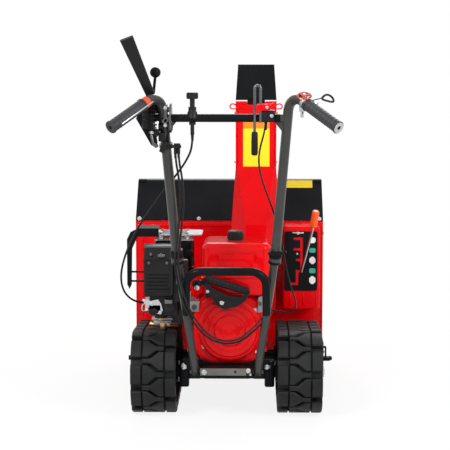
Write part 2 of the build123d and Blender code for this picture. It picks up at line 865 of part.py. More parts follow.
with BuildPart() as deflector:
    hood_sections = []
    for share, width, depth in ((0.08, 2 * chute_half, 5.0), (1.0, deflector_top_width, 76.0)):
        along = Vector(0, sin(radians(deflector_lean)), cos(radians(deflector_lean)))
        origin = Vector(chute_x, hinge_y - chute_sheet / 2, hinge_z) + along * deflector_height * share
        half = width / 2
        with BuildSketch(Plane(origin, x_dir=(1, 0, 0), z_dir=along)) as hood:
            with BuildLine():
                Polyline(
                    (-half, 0), (half, 0), (half, depth), (half - chute_sheet, depth),
                    (half - chute_sheet, chute_sheet), (chute_sheet - half, chute_sheet),
                    (chute_sheet - half, depth), (-half, depth),
                    close=True,
                )
            make_face()
        hood_sections.append(hood.sketch.faces()[0])
    loft(hood_sections, ruled=True)
    bar_between(
        (chute_x - knuckle_half, hinge_y, hinge_z),
        (chute_x + knuckle_half, hinge_y, hinge_z),
        hinge_knuckle_radius,
    )
    block(
        (chute_x - knuckle_half, chute_x + knuckle_half),
        (hinge_y - chute_sheet / 2, hinge_y + chute_sheet),
        (hinge_z, hinge_z + deflector_height * 0.12),
    )
    bar_between(
        (chute_x - chute_half, hinge_y, hinge_z),
        (chute_x + chute_half, hinge_y, hinge_z),
        hinge_pin_radius + running_gap,
        mode=Mode.SUBTRACT,
    )
save(deflector, "deflector")


# Gear console, its plate with the stepped gate, and the gear lever

gate_plate_thickness = 3.0
gate_left = 180.0
gate_right = console_right - 8.0
gate_bottom = 283.0
gate_top = 478.0
with BuildPart() as shift_console:
    block(
        (console_left, console_right), (console_rear_y, housing_rear_face), (console_bottom, console_top)
    )
    fillet(shift_console.edges().filter_by(Axis.Y), 10)
    fillet(shift_console.faces().sort_by(Axis.Y)[0].edges(), 5)
save(shift_console, "shift_console")

slot_width = 9.0
slot_runs = (
    # left, bottom, right, top of each straight run of the gate, up from the plate's corner
    (52.0, 60.0, 61.0, 176.0),
    (30.0, 167.0, 61.0, 176.0),
    (30.0, 132.0, 61.0, 141.0),
    (38.0, 97.0, 61.0, 106.0),
    (38.0, 18.0, 47.0, 69.0),
    (38.0, 60.0, 61.0, 69.0),
    (22.0, 18.0, 47.0, 27.0),
)
with BuildPart() as gate_plate:
    with BuildSketch(Plane.XZ.offset(-console_rear_y)) as gate:
        with Locations(((gate_left + gate_right) / 2, (gate_bottom + gate_top) / 2)):
            RectangleRounded(gate_right - gate_left, gate_top - gate_bottom, 8)
        for left, bottom, right, top in slot_runs:
            with Locations((gate_left + (left + right) / 2, gate_bottom + (bottom + top) / 2)):
                Rectangle(right - left, top - bottom, mode=Mode.SUBTRACT)
    extrude(gate.sketch, amount=gate_plate_thickness)
save(gate_plate, "gate_plate")

lever_radius = 4.0
lever_foot = Vector(gate_left + 56.5, console_rear_y - running_gap - lever_radius, gate_bottom + 64)
lever_shoulder = Vector(268, console_rear_y - 77, 490)
lever_top = Vector(279, console_rear_y - 97, 556)
with BuildPart() as shift_lever:
    bar_between(lever_foot, lever_shoulder, lever_radius)
    for elbow in (lever_foot, lever_shoulder):
        with Locations(Location(elbow)):
            Sphere(lever_radius)
    bar_between(lever_shoulder, lever_shoulder + (lever_top - lever_shoulder) * 0.2, lever_radius)
save(shift_lever, "shift_lever")

with BuildPart() as shift_grip:
    grip_start = lever_shoulder + (lever_top - lever_shoulder) * 0.2
    bar_between(grip_start, lever_top, 11.5)
    fillet(shift_grip.edges().filter_by(GeomType.CIRCLE), 5)
save(shift_grip, "shift_grip")


# Engine: crankcase, finned cylinder, fan housing with its recoil cover, tank, filter and muffler

crankcase_left = -62.0
with BuildPart() as crankcase:
    block((crankcase_left, 108), (fan_rear_y + fan_depth, 20), (deck_z, tank_bottom - 12))
    fillet(crankcase.edges().filter_by(Axis.Y), 16)
    bar_between((crank_x, 20, crank_z), (crank_x, cover_rear_y - 2, crank_z), 14.0)
save(crankcase, "crankcase")

fin_pitch = 9.0
fin_count = 11
fin_thickness = 2.5
cylinder_half = 36.0
fin_half = 40.0
cylinder_start = 78.0
cylinder_length = fin_pitch * fin_count + 6
cylinder_y = -88.0
cylinder_axis = Plane(
    (crank_x, cylinder_y, crank_z),
    x_dir=(-cos(radians(cylinder_tilt)), 0, sin(radians(cylinder_tilt))),
    z_dir=(0, 1, 0),
)
with BuildPart() as cylinder:
    with BuildSketch(cylinder_axis) as core:
        with Locations((cylinder_start + cylinder_length / 2, 0)):
            Rectangle(cylinder_length, 2 * cylinder_half)
    extrude(core.sketch, amount=cylinder_half, both=True)
    with BuildSketch(cylinder_axis) as fins:
        for number in range(fin_count):
            with Locations((cylinder_start + 6 + fin_pitch * number, 0)):
                Rectangle(fin_thickness, 2 * fin_half)
    extrude(fins.sketch, amount=fin_half, both=True)
    block((crankcase_left, 200), (-300, 300), (0, 600), mode=Mode.SUBTRACT)
save(cylinder, "cylinder")

with BuildPart() as valve_cover:
    with BuildSketch(cylinder_axis) as lid:
        with Locations((cylinder_start + cylinder_length + 13, 0)):
            Rectangle(26, 1.7 * fin_half)
    extrude(lid.sketch, amount=fin_half * 0.85, both=True)
    fillet(valve_cover.edges(), 6)
save(valve_cover, "valve_cover")

with BuildPart() as fan_housing:
    with BuildSketch(Plane.XZ.offset(-fan_rear_y)) as fan_outline:
        with Locations(((fan_left + fan_right) / 2, (fan_bottom + fan_top) / 2)):
            Rectangle(fan_right - fan_left, fan_top - fan_bottom)
        fillet(fan_outline.vertices().group_by(Axis.Z)[0], 62)
        fillet(fan_outline.vertices().group_by(Axis.Z)[-1], 22)
    extrude(fan_outline.sketch, amount=-fan_depth)
    fillet(fan_housing.faces().sort_by(Axis.Y)[0].edges(), 12)
save(fan_housing, "fan_housing")

recoil_steps = (
    # radius, height above the fan housing
    (recoil_radius, 0.0),
    (recoil_radius, 8.0),
    (recoil_radius - 6, 13.0),
    (recoil_radius - 14, 14.0),
    (recoil_radius - 17, 18.0),
    (48.0, 20.0),
    (44.0, 25.0),
    (30.0, 27.0),
    (0.0, 28.0),
)
with BuildPart() as recoil_cover:
    with BuildSketch(Plane.XY.offset(crank_z)) as half_section:
        with BuildLine():
            Polyline(
                (crank_x, fan_rear_y),
                *[(crank_x + radius, fan_rear_y - height) for radius, height in recoil_steps],
                close=True,
            )
        make_face()
    revolve(half_section.sketch, axis=Axis((crank_x, fan_rear_y, crank_z), (0, 1, 0)))
save(recoil_cover, "recoil_cover")

grip_bar_y = fan_rear_y - 34
grip_bar_radius = 12.0
grip_left_end = Vector(-60.0, grip_bar_y, 399.0)
grip_right_end = Vector(60.0, grip_bar_y, 366.0)
grip_root_depth = 12.0
with BuildPart() as starter_grip:
    bar_between(grip_left_end, grip_right_end, grip_bar_radius)
    with BuildSketch(Plane.XZ.offset(-grip_bar_y - grip_root_depth / 2)) as root:
        with BuildLine():
            Polyline(
                (-66, 394), (-48, 352), (-20, 318), (30, 326), (54, 340), (66, 362), (20, 372),
                close=True,
            )
        make_face()
        fillet(root.vertices(), 5)
        with Locations((22, 350)):
            RectangleRounded(34, 14, 6, mode=Mode.SUBTRACT)
    extrude(root.sketch, amount=-grip_root_depth)
    block((-20, -6), (grip_bar_y, fan_rear_y - 18.8), (318, 330))
save(starter_grip, "starter_grip")

with BuildPart() as fuel_tank:
    block(
        (tank_left, tank_right), (tank_rear_y, tank_rear_y + tank_depth), (tank_bottom, tank_top), 26
    )
    fillet(fuel_tank.faces().sort_by(Axis.Z)[-1].edges(), 20)
    fillet(fuel_tank.faces().sort_by(Axis.Z)[0].edges(), 8)
    block((-42, 88), (fan_rear_y + fan_depth + 7, tank_rear_y + tank_depth - 30), (tank_bottom - 12, tank_bottom + 5))
    with BuildSketch(Plane.XZ.offset(-tank_rear_y)) as badge_place:
        with Locations((27, 448)):
            RectangleRounded(118, 52, 8)
    extrude(badge_place.sketch, amount=-2, mode=Mode.SUBTRACT)
save(fuel_tank, "fuel_tank")

with BuildPart() as fuel_cap:
    with BuildSketch(Plane((25, tank_rear_y + 90, tank_top))) as cap:
        Circle(24)
    extrude(cap.sketch, amount=28)
    fillet(fuel_cap.faces().sort_by(Axis.Z)[-1].edges(), 6)
save(fuel_cap, "fuel_cap")

shroud_left = -247.0
shroud_right = -164.0
shroud_bottom = 336.0
shroud_top = 484.0
shroud_rear_y = -236.0
shroud_front_y = -150.0
shroud_slope = 26.0
louvre_pitch = 11.0
louvre_count = 4
with BuildPart() as intake_shroud:
    with BuildSketch(Plane.YZ.offset(shroud_left)) as shroud_side:
        add(
            side_profile(
                (
                    (shroud_rear_y + 8, shroud_bottom),
                    (shroud_rear_y, shroud_bottom + 30),
                    (shroud_rear_y, shroud_top - 30),
                    (shroud_rear_y + shroud_slope, shroud_top),
                    (shroud_front_y, shroud_top),
                    (shroud_front_y, shroud_bottom),
                ),
                6.0,
            )
        )
    extrude(shroud_side.sketch, amount=shroud_right - shroud_left)
    with BuildSketch(Plane.XZ.offset(-shroud_rear_y)) as louvres:
        with Locations(((shroud_left + shroud_right) / 2, shroud_bottom + 52)):
            with GridLocations(0, louvre_pitch, 1, louvre_count):
                Rectangle(shroud_right - shroud_left - 22, 3.5)
    extrude(louvres.sketch, amount=-4, mode=Mode.SUBTRACT)
save(intake_shroud, "intake_shroud")

bowl_left = -232.0
bowl_right = -146.0
with BuildPart() as carburetor:
    block((bowl_left, bowl_right), (-216, -166), (278, shroud_bottom), 6)
    block((shroud_right, -112), (-222, -166), (shroud_bottom - 16, shroud_bottom + 56), 6)
    block((-150, -112), (-170, cylinder_y - fin_half - running_gap), (286, 345))
save(carburetor, "carburetor")

muffler_left = -226.0
muffler_right = -106.0
muffler_rear_y = -62.0
muffler_front_y = 44.0
muffler_top = 484.0
muffler_pipe_x = -140.0
with BuildPart() as muffler:
    block((muffler_left, muffler_right), (muffler_rear_y, muffler_front_y), (362, muffler_top), 24)
    fillet(muffler.faces().sort_by(Axis.Z)[-1].edges(), 8)
    bar_between((muffler_pipe_x, muffler_rear_y, 384), (muffler_pipe_x, cylinder_y, 384), 11.0)
    bar_between((muffler_pipe_x, cylinder_y, 395), (muffler_pipe_x, cylinder_y, 316.2), 11.0)
save(muffler, "muffler")

shield_left = muffler_left - 4
shield_right = -79.0
shield_top = 504.0
with BuildPart() as muffler_shield:
    block(
        (shield_left, shield_right), (muffler_rear_y - 8, muffler_front_y + 6), (shield_top - 3, shield_top), 14
    )
    block(
        (muffler_left, muffler_right), (muffler_rear_y - 4, muffler_front_y), (muffler_top, muffler_top + 4), 10
    )
    for x in (muffler_left + 20, muffler_right - 20):
        for y in (muffler_rear_y + 16, muffler_front_y - 16):
            bar_between((x, y, muffler_top + 2), (x, y, shield_top - 1), 6.0)
    with BuildSketch(Plane((-97, -40, shield_top - 10))) as shield_hole:
        Circle(7)
    extrude(shield_hole.sketch, amount=20, mode=Mode.SUBTRACT)
save(muffler_shield, "muffler_shield")

guard_sheet = 3.0
guard_left = -310.0
guard_right = -212.0
guard_top = 523.0
guard_bend = 34.0
guard_strap = 26.0
guard_rod_zs = (354.0, 383.0)
with BuildPart() as muffler_guard:
    with BuildSketch(Plane.XZ.offset(8 - muffler_rear_y)) as guard_face:
        with BuildLine():
            Polyline(
                (guard_left, 348), (guard_left + 7, 334), (guard_left + 14, 348), (guard_left + 16, 460),
                (guard_left + 16 + guard_bend / 2, guard_top - guard_strap), (guard_right, guard_top - guard_strap),
                (guard_right, guard_top), (guard_left + guard_bend, guard_top),
                (guard_left + guard_bend / 3, guard_top - guard_bend / 3), (guard_left, guard_top - guard_bend),
                close=True,
            )
        make_face()
    extrude(guard_face.sketch, amount=guard_sheet)
    block((guard_left, guard_left + guard_sheet), (muffler_rear_y - 9, 10), (348, guard_top - guard_bend))
    block((guard_left + guard_bend, guard_right), (muffler_rear_y - 9, 10), (guard_top - guard_sheet, guard_top))
    for z in guard_rod_zs:
        bar_between((guard_left + 2, -40, z), (shroud_left + 12, -40, z), guard_sheet)
        bar_between((shroud_left + 12, -40, z), (muffler_left - 2.5, -40, z + 16), guard_sheet)
save(muffler_guard, "muffler_guard")

with BuildPart() as control_bracket:
    with BuildSketch(Plane.XZ.offset(fin_half * 0.85 + running_gap - cylinder_y)) as bracket_face:
        with BuildLine():
            Polyline(
                (-252, 276), (-200, 272), (-196, 262), (-186, 268), (-188, 300), (-196, 318), (-250, 318),
                close=True,
            )
        make_face()
        with Locations((-236, 297)):
            Circle(5, mode=Mode.SUBTRACT)
    extrude(bracket_face.sketch, amount=3)
save(control_bracket, "control_bracket")


# Handlebars: a lower tube on each rail, and one welded upper frame with its crossbar

tube_joint_gap = 1.6
gusset_thickness = 4.0
gusset_reach = 34.0
gusset_drop = 40.0


def upper_tube_points(side):
    """One upper tube's joint, bend and bare end inside the grip."""
    joint, bend, end = (mirrored(point, side) for point in (handle_joint, handle_bend, grip_end))
    upward, outward = (bend - joint).normalized(), (end - bend).normalized()
    return joint + upward * tube_joint_gap, bend, end - outward * 8


def cut_round_handle(side):
    """Trim what is clamped to one upper tube and the crossbar so that it only touches."""
    tube_along(upper_tube_points(side), bend_radius, upper_tube_radius + running_gap, Mode.SUBTRACT)
    end = mirrored(point_on_handle(crossbar_z, top=True), side)
    bar_between(end, (0, end.Y, end.Z), crossbar_radius + running_gap, mode=Mode.SUBTRACT)
    block(
        sorted((end.X, end.X - side * 50)),
        (end.Y - gusset_thickness / 2 - running_gap, end.Y + gusset_thickness / 2 + running_gap),
        (crossbar_z - gusset_drop - 1, crossbar_z),
        mode=Mode.SUBTRACT,
    )


for side, name in ((-1, "lower_handle_left"), (1, "lower_handle_right")):
    foot, joint, bend = (mirrored(point, side) for point in (handle_foot, handle_joint, handle_bend))
    upward = (bend - joint).normalized()
    with BuildPart() as lower_handle:
        bar_between(foot, joint, lower_tube_radius)
        bar_between(joint - upward * 22, joint + upward * 14, upper_tube_radius + 4)
        bar_between(
            joint + upward * (tube_joint_gap - 1),
            joint + upward * 15,
            upper_tube_radius + running_gap,
            mode=Mode.SUBTRACT,
        )
        bar_between(
            (side * (rail_inner - 8), foot_bolt_y, foot_bolt_z),
            (side * (handle_foot.X + lower_tube_radius + 7), foot_bolt_y, foot_bolt_z),
            foot_bolt_radius,
        )
    save(lower_handle, name)

with BuildPart() as upper_handle:
    bar_ends = []
    for side in (-1, 1):
        tube_along(upper_tube_points(side), bend_radius, upper_tube_radius)
        bar_ends.append(mirrored(point_on_handle(crossbar_z, top=True), side))
    bar_between(*bar_ends, crossbar_radius)
    gusset_y = bar_ends[0].Y
    for side in (-1, 1):
        edge = side * (bar_ends[1].X - upper_tube_radius + 3)
        with BuildSketch(Plane.XZ.offset(-gusset_y)) as gusset:
            with BuildLine():
                Polyline(
                    (edge, crossbar_z),
                    (edge - side * gusset_reach, crossbar_z),
                    (edge - side * 2, crossbar_z - gusset_drop),
                    close=True,
                )
            make_face()
        extrude(gusset.sketch, amount=gusset_thickness / 2, both=True)
save(upper_handle, "upper_handle")

across_tube = Vector(0, handle_joint.Z - handle_foot.Z, handle_foot.Y - handle_joint.Y).normalized() * -1
brace_offset = across_tube * (lower_tube_radius + brace_radius + running_gap)
brace_foot = point_on_handle(brace_foot_z) + brace_offset
brace_corner = point_on_handle(brace_top_z) + brace_offset
brace_half = brace_foot.X - 1
with BuildPart() as brace_arch:
    tube_along(
        (
            (-brace_half, brace_foot.Y, brace_foot.Z),
            (-brace_half + 2, brace_corner.Y, brace_corner.Z),
            (brace_half - 2, brace_corner.Y, brace_corner.Z),
            (brace_half, brace_foot.Y, brace_foot.Z),
        ),
        brace_bend_radius,
        brace_radius,
    )
save(brace_arch, "brace_arch")

for side, name in ((-1, "grip_left"), (1, "grip_right")):
    bend, end = mirrored(handle_bend, side), mirrored(grip_end, side)
    outward = (end - bend).normalized()
    with BuildPart() as grip:
        bar_between(end - outward * grip_length, end, grip_radius)
        fillet(grip.edges(), 2.5)
        bar_between(
            end - outward * (grip_length + 1),
            end - outward * (8 - running_gap),
            upper_tube_radius + running_gap,
            mode=Mode.SUBTRACT,
        )
        bar_between(end - outward * 9, end + outward, 5.0, mode=Mode.SUBTRACT)
    save(grip, name)


# Controls on the handlebars

left_tube = mirrored(point_on_handle(884.0, top=True), -1)
with BuildPart() as clutch_lever:
    paddle_foot = Vector(-206, left_tube.Y - 22, 948)
    paddle_tip = Vector(-266, left_tube.Y - 96, 1104)
    along = (paddle_tip - paddle_foot).normalized()
    ends = []
    for point, width in ((paddle_foot, 25.0), (paddle_tip, 38.0)):
        with BuildSketch(Plane(point, x_dir=Vector(1, 0, 0.38), z_dir=along)) as blade:
            RectangleRounded(width, 12, 5)
        ends.append(blade.sketch.faces()[0])
    loft(ends)
    bar_between(paddle_foot - along * 2, paddle_foot + along * 6, 12.0)
    bar_between(paddle_foot, (left_tube.X - 8, left_tube.Y - 8, 925), 6.0)
    cut_round_handle(-1)
save(clutch_lever, "clutch_lever")

disc_x = left_tube.X - upper_tube_radius - 12
with BuildPart() as height_lever:
    bar_between((disc_x - 12, left_tube.Y, 885), (disc_x, left_tube.Y, 885), 41.0)
    bar_between((disc_x - 2, left_tube.Y, 885), (left_tube.X - 6, left_tube.Y, 885), 10.0)
    bar_between((disc_x - 6, left_tube.Y, 905), (disc_x + 4, left_tube.Y + 4, 1002), 4.0)
    with Locations(Location((disc_x + 4, left_tube.Y + 4, 1010))):
        Sphere(15)
    cut_round_handle(-1)
save(height_lever, "height_lever")

with BuildPart() as height_quadrant:
    plate_x = left_tube.X + upper_tube_radius + 4
    bar_between((plate_x, left_tube.Y, 885), (plate_x + 5, left_tube.Y, 885), 42.0)
    bar_between((left_tube.X, left_tube.Y, 908), (plate_x + 2, left_tube.Y, 908), 8.0)
    cut_round_handle(-1)
save(height_quadrant, "height_quadrant")

crossbar_y = left_tube.Y
with BuildPart() as throttle_knob:
    cable_start_z = 838.0
    knob_x = -92.0
    bar_between((knob_x, crossbar_y, 937), (knob_x, crossbar_y, 955), 14.5)
    bar_between((knob_x, crossbar_y, 905), (knob_x, crossbar_y, 937), 7.0)
    bar_between((knob_x, crossbar_y, crossbar_z + crossbar_radius + running_gap), (knob_x, crossbar_y, 915), 11.0)
    block(
        (knob_x - 9, knob_x + 9),
        (crossbar_y + crossbar_radius + running_gap, crossbar_y + crossbar_radius + 4),
        (crossbar_z - crossbar_radius - 8, crossbar_z + crossbar_radius + 8),
    )
    for side in (-1, 1):
        heights = sorted(side * (crossbar_radius + reach) for reach in (running_gap, 8))
        block(
            (knob_x - 9, knob_x + 9),
            (crossbar_y - 4, crossbar_y + crossbar_radius + 4),
            (crossbar_z + heights[0], crossbar_z + heights[1]),
        )
    bar_between(
        (knob_x, crossbar_y, crossbar_z - crossbar_radius - running_gap), (knob_x, crossbar_y, cable_start_z), 5.5
    )
save(throttle_knob, "throttle_knob")

with BuildPart() as chute_crank:
    crank_y = crossbar_y - crossbar_radius - 4 - running_gap
    tube_along(
        (
            (81, crank_y, 782), (81, crank_y, 974), (97, crank_y, 974), (97, crank_y, 872),
        ),
        7.0,
        4.0,
    )
    bar_between((81, crank_y, 782), (81, crank_y, 845), 7.5)
save(chute_crank, "chute_crank")

clamp_reach = 66.0
with BuildPart() as speed_lever:
    outward = (grip_end - handle_bend).normalized()
    above = (Vector(0, 0, 1) - outward * outward.Z).normalized()
    clamp = handle_bend + outward * clamp_reach
    bar_between(clamp - outward * 6, clamp + outward * 6, upper_tube_radius + 4)
    with BuildSketch(Plane(clamp, x_dir=outward, z_dir=outward.cross(above))) as lever_plate:
        with Locations((-14, upper_tube_radius + 11)):
            RectangleRounded(46, 20, 4)
    extrude(lever_plate.sketch, amount=2.5, both=True)
    tube_along(
        (
            clamp + outward * 2 + above * 25,
            clamp + outward * 52 + above * 32,
            clamp + outward * 88 + above * 22,
        ),
        30.0,
        2.5,
    )
    cut_round_handle(1)
save(speed_lever, "speed_lever")


# Cables: from the handlebars down to the engine and the levers, each a solid of its own

cable_radius = 3.0
wire_radius = 2.5
clamp_top_z = 812.0
clamp_height = 12.0
cable_clamp_x = -136.0
clamp_centre = mirrored(point_on_handle(clamp_top_z - clamp_height / 2, top=True), -1)
with BuildPart() as cable_clamp:
    bar_between(
        mirrored(point_on_handle(clamp_top_z - clamp_height, top=True), -1),
        mirrored(point_on_handle(clamp_top_z, top=True), -1),
        upper_tube_radius + 5,
    )
    block(
        (clamp_centre.X + 6, cable_clamp_x + 12),
        (clamp_centre.Y - 16, clamp_centre.Y + 2),
        (clamp_top_z - clamp_height, clamp_top_z - 4),
    )
    cut_round_handle(-1)
save(cable_clamp, "cable_clamp")

clamp_bottom_z = clamp_top_z - clamp_height
routes = (
    # radius, and the points that the cable passes, from the handlebars down
    (
        cable_radius,
        (
            (-92, crossbar_y, cable_start_z),
            (-92, crossbar_y, 802), (-109, -475, 765), (-134, -440, 728), (-164, -402, 690),
            (-195, -385, 648), (-228, -368, 602), (-258, -345, 556), (-283, -322, 506),
            (-303, -300, 455), (-313, -282, 405), (-308, -262, 362), (-290, -238, 333),
            (-268, -205, 316), (-247, -175, 308), (-228, -150, 306), (-228, -125.6, 306),
        ),
    ),
    (
        cable_radius,
        (
            (-140, -476, clamp_bottom_z),
            (-140, -476, 766), (-131, -460, 714), (-127, -445, 652), (-132, -430, 592),
            (-139, -416, 533), (-148, -401, 470), (-140, -394, 410), (-126, -387, 350),
            (-106, -374, 304), (-80, -358, 262), (-50, -346, 232), (-18, -340, 218),
            (16, -338, 216), (50, -338, 228), (76, -336, 250), (97, -331, 268),
        ),
    ),
    (
        cable_radius,
        (
            (-131, -476, clamp_bottom_z),
            (-131, -476, 766), (-122, -460, 715), (-118, -446, 654), (-123, -432, 594),
            (-130, -418, 535), (-139, -403, 471), (-131, -399, 411), (-116, -393, 350),
            (-97, -380, 309), (-74, -364, 270), (-46, -352, 241), (-17, -346, 227),
            (15, -344, 225), (46, -344, 236), (71, -342, 258), (92, -337, 278),
        ),
    ),
    (
        wire_radius,
        (
            (112, crossbar_y, crossbar_z - crossbar_radius - running_gap),
            (108, -489, 842), (97, -485, 806), (92, -477, 768), (96, -466, 730),
            (108, -450, 690), (122, -430, 652), (136, -400, 612), (148, -376, 566),
            (160, -362, 520), (168, -356, 476), (176, -350, 430), (188, -342, 386),
            (202, -330, 346), (204, -312, 316), (186, -290, 302), (158, -262, 298),
            (132, -238, 299), (fan_right, -224, 300),
        ),
    ),
)
with BuildPart() as control_cables:
    for radius, points in routes:
        cable_along(points, radius)
save(control_cables, "control_cables")
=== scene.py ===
import bpy
import bmesh
import json
import math
from mathutils import Matrix, Vector


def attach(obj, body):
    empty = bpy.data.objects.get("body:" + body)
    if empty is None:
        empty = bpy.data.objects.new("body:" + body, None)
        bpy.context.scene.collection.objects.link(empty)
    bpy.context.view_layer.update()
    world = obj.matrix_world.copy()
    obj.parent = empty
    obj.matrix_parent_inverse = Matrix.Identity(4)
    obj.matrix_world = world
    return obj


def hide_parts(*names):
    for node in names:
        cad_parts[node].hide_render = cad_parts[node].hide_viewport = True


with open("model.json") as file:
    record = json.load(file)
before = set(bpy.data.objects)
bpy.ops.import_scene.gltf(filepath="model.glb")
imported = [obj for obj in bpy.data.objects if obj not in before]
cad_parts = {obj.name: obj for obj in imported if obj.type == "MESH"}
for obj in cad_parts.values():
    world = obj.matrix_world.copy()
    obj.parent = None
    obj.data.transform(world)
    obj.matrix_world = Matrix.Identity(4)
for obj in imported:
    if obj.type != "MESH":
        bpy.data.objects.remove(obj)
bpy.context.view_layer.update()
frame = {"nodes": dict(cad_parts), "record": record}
nodes = frame["nodes"]
print("frame loaded:", len(nodes), "nodes")

# camera: the operator's side, slightly above, as in the photograph
cameraSettings = {
    "place": (0.071, -4.802, 1.1375),
    "pitchDown": 7.0,
    "turnLeft": 0.96,
    "lens": 124.2,
}
cameraData = bpy.data.cameras.new("camera")
cameraData.lens = cameraSettings["lens"]
cameraData.sensor_width = 36.0
cameraData.clip_end = 60.0
camera = bpy.data.objects.new("camera", cameraData)
camera.location = cameraSettings["place"]
camera.rotation_euler = (
    math.radians(90 - cameraSettings["pitchDown"]),
    0,
    math.radians(cameraSettings["turnLeft"]),
)
bpy.context.scene.collection.objects.link(camera)
bpy.context.scene.camera = camera
bpy.context.scene.view_settings.view_transform = "Standard"


# small helpers for shader trees

def newMaterial(name):
    material = bpy.data.materials.new(name)
    material.use_nodes = True
    tree = material.node_tree
    return material, tree, tree.nodes["Principled BSDF"]


def objectNoise(tree, scale, detail=3.0, roughness=0.55, stretch=(1, 1, 1)):
    coords = tree.nodes.new("ShaderNodeTexCoord")
    mapping = tree.nodes.new("ShaderNodeMapping")
    mapping.inputs["Scale"].default_value = stretch
    noise = tree.nodes.new("ShaderNodeTexNoise")
    noise.inputs["Scale"].default_value = scale
    noise.inputs["Detail"].default_value = detail
    noise.inputs["Roughness"].default_value = roughness
    tree.links.new(coords.outputs["Object"], mapping.inputs["Vector"])
    tree.links.new(mapping.outputs["Vector"], noise.inputs["Vector"])
    return noise.outputs["Fac"]


def ramp(tree, source, stops):
    node = tree.nodes.new("ShaderNodeValToRGB")
    elements = node.color_ramp.elements
    elements[0].position, elements[0].color = stops[0][0], (*stops[0][1], 1)
    elements[1].position, elements[1].color = stops[-1][0], (*stops[-1][1], 1)
    for position, colour in stops[1:-1]:
        element = elements.new(position)
        element.color = (*colour, 1)
    tree.links.new(source, node.inputs["Fac"])
    return node.outputs["Color"]


def valueRange(tree, source, low, high):
    node = tree.nodes.new("ShaderNodeMapRange")
    node.inputs["To Min"].default_value = low
    node.inputs["To Max"].default_value = high
    tree.links.new(source, node.inputs["Value"])
    return node.outputs["Result"]


def bumpFrom(tree, shader, source, strength, distance):
    bump = tree.nodes.new("ShaderNodeBump")
    bump.inputs["Strength"].default_value = strength
    bump.inputs["Distance"].default_value = distance
    tree.links.new(source, bump.inputs["Height"])
    tree.links.new(bump.outputs["Normal"], shader.inputs["Normal"])


# a coating: faint clouding in the colour, uneven sheen and a fine orange-peel skin
def coating(
    name, dark, light, roughness, coat=0.0, grain=180.0, bump=0.04, metallic=0.0, specular=0.5,
    stretch=(1, 1, 1),
):
    material, tree, shader = newMaterial(name)
    clouds = objectNoise(tree, 9.0, 2.0)
    tree.links.new(ramp(tree, clouds, ((0.3, dark), (0.7, light))), shader.inputs["Base Color"])
    sheen = objectNoise(tree, 34.0, 4.0)
    tree.links.new(valueRange(tree, sheen, roughness[0], roughness[1]), shader.inputs["Roughness"])
    shader.inputs["Metallic"].default_value = metallic
    shader.inputs["Specular IOR Level"].default_value = specular
    shader.inputs["Coat Weight"].default_value = coat
    shader.inputs["Coat Roughness"].default_value = 0.06
    bumpFrom(tree, shader, objectNoise(tree, grain, 2.0, 0.55, stretch), bump, 0.0004)
    return material


redPaint = coating(
    "redPaint", (0.66, 0.0010, 0.003), (0.76, 0.0016, 0.005), (0.22, 0.32),
    coat=0.10, specular=0.08,
)
tankPaint = coating(
    "tankPaint", (0.66, 0.0010, 0.003), (0.76, 0.0016, 0.005), (0.16, 0.26),
    coat=0.22, specular=0.08,
)
# a darker copy of the red paint: painted shade in the recoil cover's vents
ventPaintedShade = coating(
    "ventPaintedShade", (0.34, 0.001, 0.003), (0.40, 0.0015, 0.004), (0.4, 0.5),
    specular=0.08,
)
blackPaint = coating(
    "blackPaint", (0.0045, 0.005, 0.006), (0.008, 0.0085, 0.010), (0.24, 0.36),
    coat=0.03, specular=0.06,
)
handlePaint = coating(
    "handlePaint", (0.028, 0.029, 0.027), (0.040, 0.041, 0.038), (0.26, 0.38),
    coat=0.2, specular=0.3,
)
blackPlastic = coating(
    "blackPlastic", (0.0065, 0.0065, 0.007), (0.012, 0.012, 0.013), (0.30, 0.46),
    grain=700.0, bump=0.15, specular=0.2,
)
orangePlastic = coating(
    "orangePlastic", (0.84, 0.085, 0.006), (0.90, 0.11, 0.010), (0.32, 0.42),
    coat=0.2, grain=500.0, bump=0.08, specular=0.3,
)
gripRubber = coating(
    "gripRubber", (0.022, 0.022, 0.025), (0.040, 0.040, 0.045), (0.34, 0.50),
    grain=500.0, bump=0.3, specular=0.3,
)
# a pale grey copy of the grip rubber for the right grip's end disc: a painted highlight on the grip's end face
endFaceHighlightRubber = coating(
    "endFaceHighlightRubber", (0.34, 0.34, 0.35), (0.46, 0.46, 0.47), (0.40, 0.52),
    grain=500.0, bump=0.1, specular=0.3,
)
bareSteel = coating(
    "bareSteel", (0.46, 0.47, 0.48), (0.62, 0.63, 0.64), (0.22, 0.36),
    grain=240.0, bump=0.05, metallic=1.0, stretch=(1, 1, 6),
)
darkSteel = coating(
    "darkSteel", (0.10, 0.10, 0.105), (0.17, 0.17, 0.175), (0.26, 0.40),
    grain=240.0, bump=0.06, metallic=1.0,
)
castAlloy = coating(
    "castAlloy", (0.26, 0.26, 0.255), (0.40, 0.40, 0.39), (0.42, 0.60),
    grain=420.0, bump=0.35, metallic=0.85,
)
stripAlloy = coating(
    "stripAlloy", (0.11, 0.11, 0.10), (0.19, 0.19, 0.18), (0.36, 0.52),
    grain=420.0, bump=0.25, metallic=0.7,
)
darkAlloy = coating(
    "darkAlloy", (0.035, 0.036, 0.034), (0.07, 0.07, 0.066), (0.45, 0.62),
    grain=420.0, bump=0.35, metallic=0.6,
)
yellowFilm = coating(
    "yellowFilm", (0.88, 0.66, 0.012), (0.92, 0.71, 0.016), (0.30, 0.38),
    coat=0.1, grain=300.0, bump=0.02, specular=0.3,
)
orangeFilm = coating(
    "orangeFilm", (0.90, 0.23, 0.012), (0.93, 0.26, 0.016), (0.30, 0.38),
    coat=0.1, grain=300.0, bump=0.02, specular=0.3,
)
greenFilm = coating(
    "greenFilm", (0.03, 0.33, 0.22), (0.04, 0.38, 0.26), (0.30, 0.40),
    grain=300.0, bump=0.02, specular=0.3,
)
